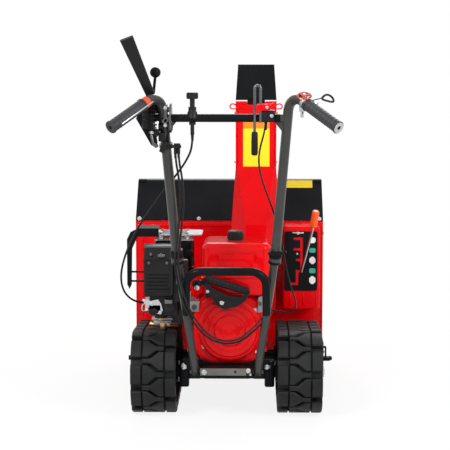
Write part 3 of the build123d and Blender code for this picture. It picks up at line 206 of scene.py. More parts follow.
whiteFilm = coating(
    "whiteFilm", (0.72, 0.72, 0.71), (0.78, 0.78, 0.77), (0.30, 0.40),
    grain=300.0, bump=0.02, specular=0.3,
)
brass = coating(
    "brass", (0.48, 0.33, 0.12), (0.60, 0.44, 0.18), (0.28, 0.42),
    grain=260.0, bump=0.08, metallic=1.0,
)
redAnodised = coating(
    "redAnodised", (0.34, 0.045, 0.025), (0.46, 0.08, 0.045), (0.26, 0.36),
    coat=0.1, grain=300.0, bump=0.03, metallic=0.7,
)
bandOrange = coating(
    "bandOrange", (0.70, 0.07, 0.012), (0.78, 0.10, 0.02), (0.36, 0.46),
    grain=300.0, bump=0.03, specular=0.3,
)


# tread rubber: dull black with a grey bloom and a fine pebbled skin
def treadCoating(name):
    material, tree, shader = newMaterial(name)
    bloom = objectNoise(tree, 14.0, 6.0, 0.7)
    stops = ((0.35, (0.008, 0.0083, 0.0086)), (0.6, (0.014, 0.0143, 0.0146)), (0.8, (0.026, 0.026, 0.026)))
    tree.links.new(ramp(tree, bloom, stops), shader.inputs["Base Color"])
    tree.links.new(valueRange(tree, bloom, 0.48, 0.70), shader.inputs["Roughness"])
    shader.inputs["Specular IOR Level"].default_value = 0.2
    bumpFrom(tree, shader, objectNoise(tree, 420.0, 3.0), 0.35, 0.0006)
    return material


treadRubber = treadCoating("treadRubber")

slotMaterials = {
    "track_rubber": treadRubber,
    "black_paint": blackPaint,
    "bare_steel": bareSteel,
    "alloy": castAlloy,
    "red_paint": redPaint,
    "handle_paint": handlePaint,
    "grip_rubber": gripRubber,
    "orange_plastic": orangePlastic,
    "black_plastic": blackPlastic,
}
ownFinish = {
    "chute_crank": darkSteel,
    "cylinder": darkAlloy,
    "transmission_case": darkAlloy,
    "height_quadrant": darkSteel,
    "rear_strip": stripAlloy,
    "fuel_tank": tankPaint,
    "recoil_cover": tankPaint,
}
for entry in frame["record"]["subparts"]:
    cadNode = nodes[entry["node"]]
    cadNode.data.materials.clear()
    cadNode.data.materials.append(ownFinish.get(entry["node"], slotMaterials[entry["material_slot"]]))
print("materials on the CAD nodes")


# modelling helpers: places are in millimetres until a piece is finished

def linkObject(obj):
    bpy.context.scene.collection.objects.link(obj)
    return obj


def finishPiece(bm, name, material, body="machine", sharpAngle=32.0):
    bmesh.ops.remove_doubles(bm, verts=bm.verts, dist=0.01)
    bmesh.ops.scale(bm, vec=(0.001, 0.001, 0.001), verts=bm.verts)
    bmesh.ops.recalc_face_normals(bm, faces=bm.faces)
    mesh = bpy.data.meshes.new(name)
    bm.to_mesh(mesh)
    bm.free()
    mesh.shade_smooth()
    mesh.set_sharp_from_angle(angle=math.radians(sharpAngle))
    mesh.materials.append(material)
    piece = linkObject(bpy.data.objects.new(name, mesh))
    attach(piece, body)
    return piece


def roundEdges(bm, edges, amount, steps=2):
    bmesh.ops.bevel(
        bm, geom=list(edges), offset=amount, segments=steps, profile=0.5, affect="EDGES", material=-1,
    )


def addBox(bm, low, high, rounding=0.0, turn=None):
    low, high = Vector(low), Vector(high)
    place = Matrix.Translation((low + high) / 2)
    if turn:
        place = place @ Matrix.Rotation(math.radians(turn[0]), 4, turn[1])
    made = bmesh.ops.create_cube(bm, size=1, matrix=place @ Matrix.Diagonal((*(high - low), 1)))
    if rounding:
        roundEdges(bm, {edge for vert in made["verts"] for edge in vert.link_edges}, rounding)


def along(start, end):
    start, end = Vector(start), Vector(end)
    turn = (end - start).to_track_quat("Z", "Y").to_matrix().to_4x4()
    return Matrix.Translation((start + end) / 2) @ turn, (end - start).length


def addRod(bm, start, end, radius, endRadius=None, steps=24, rounding=0.0):
    place, length = along(start, end)
    made = bmesh.ops.create_cone(
        bm, cap_ends=True, segments=steps, radius1=radius,
        radius2=radius if endRadius is None else endRadius, depth=length, matrix=place,
    )
    if rounding:
        rims = {e for v in made["verts"] for e in v.link_edges if any(len(f.verts) > 4 for f in e.link_faces)}
        roundEdges(bm, rims, rounding)


# a washer, a hexagon head and the thread's end; the size is about half the width over the head
def addBolt(bm, place, out, size=6.0):
    place, out = Vector(place), Vector(out).normalized()
    headTop = 1.4 + size * 0.62
    addRod(bm, place - out, place + out * 1.4, size * 1.15, rounding=0.4)
    addRod(bm, place + out * 1.2, place + out * headTop, size * 0.92, steps=6, rounding=size * 0.1)
    stubFoot = 1.2 + size * 0.6
    addRod(bm, place + out * stubFoot, place + out * (headTop + 0.5), size * 0.62, steps=18, rounding=0.3)


# a flat plate: corners in its own plane, pushed through by its thickness
def addPlate(bm, corners, thickness, rounding=0.0):
    face = bm.faces.new([bm.verts.new(corner) for corner in corners])
    made = bmesh.ops.extrude_face_region(bm, geom=[face], use_keep_orig=True)
    moved = [item for item in made["geom"] if isinstance(item, bmesh.types.BMVert)]
    rim = [item for item in made["geom"] if isinstance(item, bmesh.types.BMEdge)]
    bmesh.ops.translate(bm, vec=Vector(thickness), verts=moved)
    if rounding:
        roundEdges(bm, rim, rounding)


# a turned shape: a profile of (radius, height) points spun about an axis
def addTurned(bm, centre, out, profile, steps=48, angle=360.0, startTurn=0.0):
    turn = Vector(out).to_track_quat("Z", "Y").to_matrix().to_4x4()
    place = Matrix.Translation(Vector(centre)) @ turn @ Matrix.Rotation(math.radians(startTurn), 4, "Z")
    verts = [bm.verts.new(place @ Vector((radius, 0, height))) for radius, height in profile]
    edges = [bm.edges.new(pair) for pair in zip(verts, verts[1:])]
    bmesh.ops.spin(
        bm, geom=verts + edges, cent=Vector(centre), axis=place.to_3x3() @ Vector((0, 0, 1)),
        angle=math.radians(angle), steps=steps, use_merge=angle > 359.9, use_duplicate=False,
    )


# a box and its copies, each a pitch further on
def addRow(bm, low, high, rounding, count, pitch):
    for step in range(count):
        shift = Vector(pitch) * step
        addBox(bm, Vector(low) + shift, Vector(high) + shift, rounding)


# pegs in a ring: they lie along x about a (y, z) centre, or stand along z about an (x, y) centre
def addPegs(bm, axis, centre, ringRadius, count, firstAngle, pitch, ends, radius, steps, rounding):
    for step in range(count):
        angle = math.radians(firstAngle + step * pitch)
        spot = (centre[0] + ringRadius * math.cos(angle), centre[1] + ringRadius * math.sin(angle))
        start, end = ((*spot, reach) if axis == "Z" else (reach, *spot) for reach in ends)
        addRod(bm, start, end, radius, steps=steps, rounding=rounding)


def addStraightRod(bm, start, end, radius, steps, rounding):
    addRod(bm, start, end, radius, steps=steps, rounding=rounding)


# what a piece's dictionary can hold, and the columns of its rows
partMakers = {
    "boxes": addBox,  # low, high, rounding, turn
    "plates": addPlate,  # corners, thickness, rounding
    "rods": addStraightRod,  # start, end, radius, steps, rounding
    "tapers": addRod,  # start, end, radius, end radius, steps
    "turned": addTurned,  # centre, axis, profile of (radius, height), steps
    "bolts": addBolt,  # place, way out, size
    "rows": addRow,  # low, high, rounding, count, pitch
    "pegs": addPegs,  # axis, centre, ring radius, count, first angle, pitch, ends, radius, steps, rounding
}


def addParts(bm, shape):
    for kind, rows in shape.items():
        if kind in partMakers:
            for row in rows:
                partMakers[kind](bm, *row)


def makePiece(name, shape, material, body="machine"):
    bm = bmesh.new()
    addParts(bm, shape)
    return finishPiece(bm, name, material, body)


# a wire or a cable: a round section along a NURBS line, with the given points as its control points
def makeWire(name, points, radius, material, body="machine"):
    curve = bpy.data.curves.new(name, "CURVE")
    curve.dimensions = "3D"
    curve.bevel_depth = radius / 1000
    curve.bevel_resolution = 5
    curve.use_fill_caps = True
    curve.resolution_u = 10
    spline = curve.splines.new("NURBS")
    spline.points.add(len(points) - 1)
    for target, point in zip(spline.points, points):
        target.co = (point[0] / 1000, point[1] / 1000, point[2] / 1000, 1)
    spline.order_u = 3
    spline.use_endpoint_u = True
    curve.materials.append(material)
    wire = linkObject(bpy.data.objects.new(name, curve))
    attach(wire, body)
    return wire


# cables: the routes of the CAD cables, from the handlebars down
cableRoutes = (
    ("throttleCable", 3.0, (
        (-92, -489, 861), (-92, -489, 825), (-109, -475, 788), (-134, -440, 751), (-164, -402, 713),
        (-195, -385, 671), (-228, -368, 625), (-258, -345, 579), (-283, -322, 529), (-303, -300, 478),
        (-313, -282, 428), (-308, -262, 385), (-290, -238, 356), (-268, -205, 339), (-247, -175, 331),
        (-228, -150, 329), (-228, -125.6, 329),
    )),
    ("clutchCableOuter", 3.0, (
        (-140, -476, 823), (-140, -476, 789), (-131, -460, 737), (-127, -445, 675), (-132, -430, 615),
        (-139, -416, 556), (-148, -401, 493), (-140, -394, 433), (-126, -387, 373), (-106, -374, 327),
        (-80, -358, 285), (-50, -346, 255), (-18, -340, 241), (16, -338, 239), (50, -338, 251),
        (76, -336, 273), (97, -331, 291), (114, -324, 313), (124, -318, 334),
    )),
    ("clutchCableInner", 3.0, (
        (-131, -476, 823), (-131, -476, 789), (-122, -460, 738), (-118, -446, 677), (-123, -432, 617),
        (-130, -418, 558), (-139, -403, 494), (-131, -399, 434), (-116, -393, 373), (-97, -380, 332),
        (-74, -364, 293), (-46, -352, 264), (-17, -346, 250), (15, -344, 248), (46, -344, 259),
        (71, -342, 281), (92, -337, 301), (110, -330, 324), (119, -324, 345),
    )),
    ("shiftWire", 2.5, (
        (112, -489, 896), (108, -489, 865), (97, -485, 829), (92, -477, 791), (96, -466, 753),
        (108, -450, 713), (122, -430, 675), (136, -400, 635), (148, -376, 589), (160, -362, 543),
        (168, -356, 499), (176, -350, 453), (188, -342, 409), (202, -330, 369), (204, -312, 339),
        (186, -290, 325), (158, -262, 321), (132, -238, 322), (112, -224, 323),
    )),
)
for cableName, cableRadius, cablePoints in cableRoutes:
    cable = makeWire(cableName, cablePoints, cableRadius, blackPlastic)
    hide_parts("control_cables")
print("cables ready")


# tracks: a bent belt with thirty-two interlocking lugs, each with chamfered edges and a groove
trackShape = {
    "centreX": 218.4, "width": 134.0,
    "rearY": -185.0, "rearZ": 125.0, "rearRadius": 125.0,
    "frontY": 115.0, "frontZ": 112.5, "frontRadius": 112.5,
    "lugHeight": 18.0, "beltThickness": 7.6, "lugsASide": 16,
    "rootHalf": 30.5, "tipHalf": 8.5, "shoulderStart": 0.37, "shoulderEnd": 0.56, "tipReach": 0.74,
    "grooveAt": 0.25, "grooveHalf": 3.4, "grooveDepth": 6.0, "chamfer": 3.4,
    "hornHeight": 11.0,
}
straightRun = trackShape["frontY"] - trackShape["rearY"]
topSlope = 2 * math.atan((trackShape["rearZ"] - trackShape["frontZ"]) / straightRun)
rearArc = trackShape["rearRadius"] * (math.pi + topSlope)
frontArc = trackShape["frontRadius"] * (math.pi - topSlope)
loopLength = rearArc + frontArc + 2 * straightRun


# a place on the track's outer line, and the way out of it, at a distance round the loop
def loopPlace(distance):
    distance = distance % loopLength
    rear = Vector((0, trackShape["rearY"], trackShape["rearZ"]))
    front = Vector((0, trackShape["frontY"], trackShape["frontZ"]))
    if distance < straightRun:
        return Vector((0, trackShape["rearY"] + distance, 0)), Vector((0, 0, -1))
    distance -= straightRun
    if distance < frontArc:
        angle = -math.pi / 2 + distance / trackShape["frontRadius"]
        out = Vector((0, math.cos(angle), math.sin(angle)))
        return front + out * trackShape["frontRadius"], out
    distance -= frontArc
    if distance < straightRun:
        out = Vector((0, math.sin(topSlope), math.cos(topSlope)))
        return front + out * trackShape["frontRadius"] + Vector((0, -out.z, out.y)) * distance, out
    angle = math.pi / 2 - topSlope + (distance - straightRun) / trackShape["rearRadius"]
    out = Vector((0, math.cos(angle), math.sin(angle)))
    return rear + out * trackShape["rearRadius"], out


def joinInto(bm, part):
    scratch = bpy.data.meshes.new("scratch")
    part.to_mesh(scratch)
    part.free()
    bm.from_mesh(scratch)
    bpy.data.meshes.remove(scratch)


def makeLug(side, middle):
    half = trackShape["width"] / 2
    lugBm = bmesh.new()
    outline = (
        (0.0, -trackShape["rootHalf"]), (trackShape["shoulderStart"], -trackShape["rootHalf"]),
        (trackShape["shoulderEnd"], -trackShape["tipHalf"]), (trackShape["tipReach"], -trackShape["tipHalf"]),
        (trackShape["tipReach"], trackShape["tipHalf"]), (trackShape["shoulderEnd"], trackShape["tipHalf"]),
        (trackShape["shoulderStart"], trackShape["rootHalf"]), (0.0, trackShape["rootHalf"]),
    )
    foot = -trackShape["lugHeight"] - 1
    corners = [(side * half * (1 - 2 * share), middle + reach, foot) for share, reach in outline]
    addPlate(lugBm, corners, (0, 0, trackShape["lugHeight"] + 1))
    tops = [e for e in lugBm.edges if all(v.co.z > -0.01 for v in e.verts)]
    roundEdges(lugBm, tops, trackShape["chamfer"], 1)
    # cuts along the lug let it bend round the wheels, cuts across it make the groove
    for cut in range(-4, 5):
        bmesh.ops.bisect_plane(
            lugBm, geom=lugBm.verts[:] + lugBm.edges[:] + lugBm.faces[:],
            plane_co=(0, middle + cut * 7.0, 0), plane_no=(0, 1, 0),
        )
    grooveX = side * half * (1 - 2 * trackShape["grooveAt"])
    for offset in (-trackShape["grooveHalf"], 0.0, trackShape["grooveHalf"]):
        bmesh.ops.bisect_plane(
            lugBm, geom=lugBm.verts[:] + lugBm.edges[:] + lugBm.faces[:],
            plane_co=(grooveX + offset, 0, 0), plane_no=(1, 0, 0),
        )
    for vert in lugBm.verts:
        if abs(vert.co.x - grooveX) < 0.1 and vert.co.z > -trackShape["chamfer"] - 0.5:
            vert.co.z -= trackShape["grooveDepth"]
    return lugBm


def makeTrack(side, nodeName, pieceName):
    half = trackShape["width"] / 2
    beltFloor = -trackShape["lugHeight"] - trackShape["beltThickness"]
    pitch = loopLength / (2 * trackShape["lugsASide"])
    bm = bmesh.new()
    for step in range(2 * trackShape["lugsASide"]):
        joinInto(bm, makeLug(1 if step % 2 == 0 else -1, step * pitch))
        # guide horns inside the belt, one each side of the wheels
        for hornSide in (-1, 1):
            low = (hornSide * 47 - 4.5, step * pitch - 9, beltFloor - trackShape["hornHeight"])
            high = (hornSide * 47 + 4.5, step * pitch + 9, beltFloor + 2)
            addBox(bm, low, high, 2.0)
    beltBm = bmesh.new()
    place = Matrix.Translation((0, loopLength / 2, -trackShape["lugHeight"]))
    spread = Matrix.Diagonal((half, loopLength / 2, 1, 1))
    bmesh.ops.create_grid(beltBm, x_segments=8, y_segments=192, size=1, matrix=place @ spread)
    inner = bmesh.ops.extrude_face_region(beltBm, geom=beltBm.faces[:], use_keep_orig=True)
    innerVerts = [item for item in inner["geom"] if isinstance(item, bmesh.types.BMVert)]
    bmesh.ops.translate(beltBm, vec=(0, 0, -trackShape["beltThickness"]), verts=innerVerts)
    ends = [f for f in beltBm.faces if len({round(v.co.y, 2) for v in f.verts}) == 1]
    bmesh.ops.delete(beltBm, geom=ends, context="FACES_ONLY")
    joinInto(bm, beltBm)
    for vert in bm.verts:
        outer, out = loopPlace(vert.co.y)
        bent = outer + out * vert.co.z
        vert.co = (side * trackShape["centreX"] + vert.co.x, bent.y, bent.z)
    track = finishPiece(bm, pieceName, treadRubber, sharpAngle=28.0)
    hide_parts(nodeName)


makeTrack(-1, "track_left", "trackRubberLeft")
makeTrack(1, "track_right", "trackRubberRight")
print("tracks ready")


# the snow cover's slope, under its bolts, film and tabs
coverShape = {"footY": 297.0, "footZ": 527.5, "run": 137.0, "rise": 121.0, "filmLift": 0.3}
coverSlope = Vector((0, coverShape["run"], coverShape["rise"])).normalized()
coverOut = Vector((0, -coverSlope.z, coverSlope.y))

# fastenings in plain zinc, in groups by what they hold
boltGroups = {
    "coverBolts": (
        ((-298, 300.5, 531.5), coverOut, 6.5), ((-101, 300.5, 531.5), coverOut, 6.0),
        ((179, 351.0, 576), coverOut, 5.5), ((298, 300.5, 531.5), coverOut, 6.0),
    ),
    "flangeBolts": (
        ((-127, -238.0, 150), (0, -1, 0), 9.0), ((120, -238.0, 150), (0, -1, 0), 9.0),
    ),
    "stripBolts": (((-66, -309.0, 148), (0, -1, 0), 7.0), ((64, -306.0, 152), (0, -1, 0), 6.5)),
    "recoilBolts": (
        ((-70, -245.5, 212), (0, -1, 0), 6.0), ((84, -245.5, 322), (0, -1, 0), 6.0),
        ((90, -245.5, 196), (0, -1, 0), 5.0),
    ),
    "housingBolts": (
        ((-310, 340, 480), (-1, 0, 0), 6.0), ((-310, 560, 480), (-1, 0, 0), 6.0),
        ((310, 340, 480), (1, 0, 0), 6.0), ((310, 560, 480), (1, 0, 0), 6.0),
        ((-315, 330, 80), (-1, 0, 0), 6.0), ((-315, 424, 80), (-1, 0, 0), 6.0),
        ((315, 330, 80), (1, 0, 0), 6.0), ((315, 424, 80), (1, 0, 0), 6.0),
    ),
}
for groupName, rows in boltGroups.items():
    bm = bmesh.new()
    for place, out, size in rows:
        addBolt(bm, place, out, size)
    finishPiece(bm, groupName, bareSteel)
print("fastenings ready")


# blank films: the cover's, the chute's and the gear gate's
def slopeSpot(x, share):
    y = coverShape["footY"] + coverShape["run"] * share
    z = coverShape["footZ"] + coverShape["rise"] * share
    return Vector((x, y, z)) + coverOut * coverShape["filmLift"]


coverFilm = {"corners": ((191, 0.80), (278, 0.80), (278, 0.985), (191, 0.985)), "thickness": 0.5}
bm = bmesh.new()
addPlate(bm, [slopeSpot(*spot) for spot in coverFilm["corners"]], coverOut * coverFilm["thickness"])
finishPiece(bm, "coverFilm", yellowFilm)

chuteFilm = {
    "left": 46.0, "right": 130.0, "bottom": 719.0, "band": 840.0, "top": 862.0,
    "y": 141.2, "thickness": 0.5,
}
chuteFilmParts = (
    ("chuteFilm", yellowFilm, "bottom", "band"),
    ("chuteFilmBand", orangeFilm, "band", "top"),
)
for filmName, film, low, high in chuteFilmParts:
    left, right, y = chuteFilm["left"], chuteFilm["right"], chuteFilm["y"]
    bm = bmesh.new()
    addPlate(bm, (
        (left, y, chuteFilm[low]), (right, y, chuteFilm[low]),
        (right, y, chuteFilm[high]), (left, y, chuteFilm[high]),
    ), (0, -chuteFilm["thickness"], 0))
    finishPiece(bm, filmName, film, "chute_body")

gateFilm = {"left": 262, "right": 282, "y": 212, "thickness": 0.5}
gateFilms = (
    # name, film, bottom, top, corner
    ("gateFilmTop", whiteFilm, 463.0, 482.0, 5.0),
    ("gateFilmUpper", greenFilm, 431.5, 446.5, 3.0),
    ("gateFilmMiddle", whiteFilm, 394.0, 418.0, 7.0),
    ("gateFilmLower", greenFilm, 364.0, 380.0, 3.0),
    ("gateFilmBottom", whiteFilm, 328.0, 354.0, 7.0),
)
for filmName, film, low, high, corner in gateFilms:
    left, right, y = gateFilm["left"], gateFilm["right"], gateFilm["y"]
    bm = bmesh.new()
    addPlate(bm, (
        (left + corner, y, low), (right - corner, y, low), (right, y, low + corner), (right, y, high - corner),
        (right - corner, y, high), (left + corner, y, high), (left, y, high - corner), (left, y, low + corner),
    ), (0, -gateFilm["thickness"], 0))
    finishPiece(bm, filmName, film)
gateScrewsShape = {
    "boxes": (
        ((206, 208.5, 494), (243, 212.5, 499), 1.2),
    ),
    "rods": (
        ((224, 212, 496), (224, 205, 496), 5.0, 18, 0.8),
        ((222, 212.5, 428), (222, 206, 428), 4.0, 6, 0.5),
    ),
}
makePiece("gateScrews", gateScrewsShape, bareSteel)
print("blank films ready")


# chute: hinge leaf, wire loops, folded edges and the bead round its collar
chuteShape = {"x": 87, "half": 65, "boltSize": 4.5, "boltSpots": ((160, 890), (200, 730))}
hingeLeafShape = {
    "boxes": (
        ((23, 138.6, 902), (151, 141.6, 917), 1.0),
    ),
}
makePiece("hingeLeaf", hingeLeafShape, redPaint, "chute_body")
hingeLoopShape = {
    "radius": 2.2,
    # way out from the chute's side, depth, height
    "points": ((-3, 140, 914), (8, 139, 920), (17, 137, 916), (18, 137, 906), (10, 138, 902), (-1, 138, 903)),
}
for side, loopName in ((-1, "hingeLoopLeft"), (1, "hingeLoopRight")):
    edge = chuteShape["x"] + side * chuteShape["half"]
    loopPoints = [(edge + side * reach, y, z) for reach, y, z in hingeLoopShape["points"]]
    makeWire(loopName, loopPoints, hingeLoopShape["radius"], redPaint, "chute_body")
chuteFoldShape = {
    "boxes": (
        ((22, 139.6, 720), (27, 143, 900), 1.4),
        ((147, 139.6, 720), (152, 143, 900), 1.4),
        ((24, 139.8, 872), (150, 142, 876), 0.8),
    ),
}
makePiece("chuteFolds", chuteFoldShape, redPaint, "chute_body")
bm = bmesh.new()
for side in (-1, 1):
    for y, z in chuteShape["boltSpots"]:
        addBolt(bm, (chuteShape["x"] + side * chuteShape["half"], y, z), (side, 0, 0), chuteShape["boltSize"])
finishPiece(bm, "chuteBolts", bareSteel, "chute_body")
chuteCollarBeadShape = {
    "turned": (
        ((87, 206, 448), (0, 0, 1), ((81, 0), (83.6, 1.5), (83.6, 5.5), (81, 7)), 64),
    ),
}
makePiece("chuteCollarBead", chuteCollarBeadShape, redPaint, "chute_body")
print("chute trim ready")


# snow cover and housing: corner tabs, pressed ribs and folded rims
coverTab = {
    "corners": ((309, 0.93), (286, 0.93), (282, 1.0), (309, 1.0)),  # way out, share of the slope
    "thickness": 2.0, "rounding": 0.6,
}
bm = bmesh.new()
for side in (-1, 1):
    corners = [slopeSpot(side * reach, share) for reach, share in coverTab["corners"]]
    addPlate(bm, corners, coverOut * coverTab["thickness"], coverTab["rounding"])
finishPiece(bm, "coverTabs", blackPaint)
housingRibShape = {
    "boxes": (
        ((-290, 294.6, 200), (-285, 297.4, 505), 1.2),
        ((197.5, 212.9, 256), (202.5, 215.6, 300), 1.2),
        ((240.5, 212.9, 256), (245.5, 215.6, 300), 1.2),
        ((281.5, 212.9, 256), (286.5, 215.6, 300), 1.2),
        ((-308, 293.5, 507), (308, 297.5, 513), 1.5),
        ((-309.5, 294.6, 60), (-304.5, 299.0, 510), 1.0),
        ((304.5, 294.6, 60), (309.5, 299.0, 510), 1.0),
    ),
}
makePiece("housingRibs", housingRibShape, redPaint)
print("housing trim ready")


# recoil cover: raised rings, curved vents in a darker red that paints the shade in them, brackets and nuts
recoilShape = {
    "x": 9.0, "face": -245.0, "z": 264.0,
    # radius, height, width, rise, first angle, sweep
    "rings": ((84.0, 13.4, 5.0, 1.6, 0, 360), (62.0, 18.9, 5.0, 1.8, 0, 360), (26.0, 26.8, 5.0, 1.2, 0, 360)),
    "vents": ((73.0, 17.6, 4.0, 0.6, 20, 124), (73.0, 17.6, 4.0, 0.6, 200, 124)),
}


def recoilArc(bm, radius, height, wide, tall, fromAngle, sweep):
    place = (recoilShape["x"], recoilShape["face"], recoilShape["z"])
    half = wide / 2
    profile = (
        (radius - half, height - 1), (radius - half * 0.7, height + tall), (radius + half * 0.7, height + tall),
        (radius + half, height - 1),
    )
    addTurned(bm, place, (0, -1, 0), profile, max(8, int(sweep / 4)), sweep, fromAngle)


# the vents take the darker red, which paints the shade in them
for pieceName, rows, paint in (("recoilRings", "rings", redPaint), ("recoilVents", "vents", ventPaintedShade)):
    bm = bmesh.new()
    for row in recoilShape[rows]:
        recoilArc(bm, *row)
    finishPiece(bm, pieceName, paint)
shroudBracketsShape = {
    "plates": (
        (((-114, -243, 318), (-84, -243, 318), (-81, -243, 348), (-110, -243, 348)), (0, -5, 0), 0.8),
        (((92, -243, 315), (109, -243, 318), (107, -243, 366), (94, -243, 362)), (0, -5, 0), 0.8),
        (((-119, -243, 345), (-108, -243, 345), (-107, -243, 378), (-118, -243, 378)), (0, -4, 0), 0.8),
    ),
}
makePiece("shroudBrackets", shroudBracketsShape, castAlloy)
shroudNutsShape = {
    "rods": (
        ((-97, -247, 332), (-97, -255, 332), 8.5, 6, 0.8),
        ((98, -247, 343), (98, -253, 343), 6.0, 6, 0.6),
    ),
}
makePiece("shroudNuts", shroudNutsShape, darkSteel)
print("recoil trim ready")


# starter grip: a ribbed bar over an open loop, its rope guide and the knob beside it
starterShape = {
    "left": (-64, -279, 424), "right": (64, -279, 385), "barRadius": 11.5,
    "ribs": 8, "firstRib": 0.12, "ribPitch": 0.1, "ribHalf": 4.2, "ribRadius": 12.6,
    "plates": (
        (
            (
                (-69, -285, 404), (-50, -285, 377), (-34, -285, 346), (-8, -285, 331), (30, -285, 340),
                (55, -285, 356), (70, -285, 384), (60, -285, 393), (45, -285, 369), (6, -285, 372),
                (-14, -285, 382), (-40, -285, 393), (-58, -285, 414),
            ), (0, 12, 0), 1.6,
        ),
        (
            (
                (-30, -287, 352), (-8, -287, 337), (28, -287, 345), (44, -287, 358), (4, -287, 362),
                (-18, -287, 370),
            ), (0, 4, 0), 1.2,
        ),
    ),
}
barLeft, barRight = Vector(starterShape["left"]), Vector(starterShape["right"])
halfRib = (barRight - barLeft).normalized() * starterShape["ribHalf"]
bm = bmesh.new()
addRod(bm, barLeft, barRight, starterShape["barRadius"], steps=28, rounding=3.0)
for step in range(starterShape["ribs"]):
    middle = barLeft.lerp(barRight, starterShape["firstRib"] + step * starterShape["ribPitch"])
    addRod(bm, middle - halfRib, middle + halfRib, starterShape["ribRadius"], steps=24, rounding=1.2)
addParts(bm, starterShape)
starterGrip = finishPiece(bm, "starterGrip", blackPlastic)
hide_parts("starter_grip")
ropeGuideShape = {
    "rods": (
        ((-14, -290, 352), (-14, -262, 346), 6.5, 18, 1.0),
        ((-56, -290, 386), (-56, -245, 384), 5.0, 18, 1.0),
        ((-88, -266, 393), (-88, -244, 393), 8.0, 18, 1.5),
    ),
}
makePiece("ropeGuide", ropeGuideShape, bareSteel)
starterKnobShape = {
    "boxes": (
        ((-99, -260, 398), (-60, -244, 414), 3.0),
        ((-64, -272, 366), (-36, -262, 380), 2.0, (-28, "Y")),
    ),
    "turned": (
        ((-89, -258, 404), (0, -1, 0), ((5, 0), (13, 0), (14, 3), (12, 7), (6, 8), (5, 0)), 28),
    ),
}
makePiece("starterKnob", starterKnobShape, blackPlastic)
print("starter grip ready")


# fuel tank: seam, bare raised panel, and the cap's ribs
tankSeamShape = {
    "boxes": (
        ((-76.5, -252.5, 418), (134.5, -57.5, 422), 1.6),
    ),
}
makePiece("tankSeam", tankSeamShape, redPaint)
tankBadgeShape = {
    "boxes": (
        ((-26, -250.5, 451), (80, -246.5, 491), 1.8),
    ),
}
makePiece("tankBadge", tankBadgeShape, redPaint)
capShape = {
    "pegs": (
        ("Z", (25, -160), 23.2, 18, 0, 20, (527, 543), 2.0, 8, 0.0),
    ),
    "turned": (
        ((25, -160, 551), (0, 0, 1), ((0.01, 0.4), (10, 0.4), (14, -0.4), (14, -2)), 32),
    ),
}
makePiece("capRibs", capShape, blackPlastic)
print("tank trim ready")


# engine: intake shroud, carburettor, muffler, control bracket and their small parts
intakeShape = {
    "boxes": (
        ((-246, -238, 470), (-166, -234, 476), 1.4),
        ((-250, -200, 504), (-160, -150, 509), 1.6),
        ((-169, -238, 366), (-160, -226, 476), 2.0),
        ((-236, -226, 306), (-196, -214, 336), 3.0),
        ((-160, -224, 405), (-116, -196, 470), 4.0),
    ),
    "rods": (
        ((-172, -226, 326), (-172, -214, 326), 17.0, 28, 2.0),
        ((-200, -190, 303), (-200, -190, 290), 20.0, 28, 2.0),
        ((-142, -218, 380), (-142, -218, 462), 8.0, 20, 2.0),
    ),
    "rows": (
        ((-240, -238.6, 377), (-171, -234, 381), 1.0, 5, (0, 0, 11)),
    ),
}
makePiece("intakeTrim", intakeShape, blackPlastic)
intakeFittingShape = {
    "boxes": (
        ((-206, -243, 480), (-184, -230, 488), 2.0),
        ((-186, -240, 340), (-162, -220, 352), 1.5),
    ),
    "rods": (
        ((-226, -230, 487), (-226, -239, 488), 4.2, 14, 0.8),
        ((-196, -230, 487), (-196, -239, 488), 4.2, 14, 0.8),
        ((-232, -232, 462), (-232, -241, 463), 4.2, 14, 0.8),
        ((-178, -232, 462), (-178, -241, 463), 4.2, 14, 0.8),
        ((-151, -226, 440), (-151, -222, 398), 3.0, 12, 0.0),
        ((-133, -226, 446), (-133, -222, 424), 4.0, 12, 0.6),
    ),
}
makePiece("intakeFittings", intakeFittingShape, darkSteel)
chokeBracketShape = {
    "plates": (
        (
            (
                (-250, -226, 353), (-228, -226, 346), (-206, -226, 351), (-197, -226, 338),
                (-192, -226, 318), (-199, -226, 305), (-210, -226, 308), (-207, -226, 318),
                (-216, -226, 325), (-228, -226, 321), (-240, -226, 332), (-248, -226, 338),
            ),
            (0, 3, 0), 1.0,
        ),
    ),
    "rods": (
        ((-224, -230, 336), (-224, -221, 336), 5.0, 6, 0.6),
        ((-200, -231, 312), (-200, -221, 312), 5.5, 20, 1.0),
        ((-252, -224, 350), (-232, -221, 330), 3.0, 14, 0.0),
    ),
}
makePiece("chokeBracket", chokeBracketShape, bareSteel)
fuelDrainShape = {
    "boxes": (
        ((-204, -160, 244), (-190, -142, 268), 2.0),
    ),
    "rods": (
        ((-200, -190, 292), (-200, -190, 280), 6.5, 6, 0.8),
        ((-236, -150, 262), (-204, -150, 262), 7.0, 18, 1.0),
        ((-228, -150, 266), (-228, -150, 248), 5.0, 6, 0.6),
    ),
}
makePiece("fuelDrain", fuelDrainShape, brass)
intakeFlangeShape = {
    "boxes": (
        ((-230, -150, 272), (-166, -126, 282), 2.5),
        ((-224, -158, 258), (-170, -134, 274), 3.0),
    ),
    "rods": (
        ((-178, -152, 264), (-178, -170, 264), 6.0, 18, 1.0),
    ),
}
makePiece("intakeFlange", intakeFlangeShape, castAlloy)
governorWires = (
    ("governorSpring", (
        (-246, -127, 300), (-258, -128, 296), (-262, -128, 312), (-252, -128, 326), (-238, -128, 330),
        (-226, -128, 322), (-222, -128, 300), (-214, -128, 288), (-204, -127, 292),
    )),
    ("governorRod", (
        (-236, -127, 320), (-214, -130, 332), (-196, -132, 330), (-172, -134, 318), (-150, -138, 312),
    )),
)
for wireName, wirePoints in governorWires:
    makeWire(wireName, wirePoints, 2.4, bareSteel)
bracketBoltsShape = {
    "bolts": (
        ((-206, -125.3, 306), (0, -1, 0), 4.5),
        ((-240, -125.3, 334), (0, -1, 0), 4.0),
    ),
}
makePiece("bracketBolts", bracketBoltsShape, bareSteel)
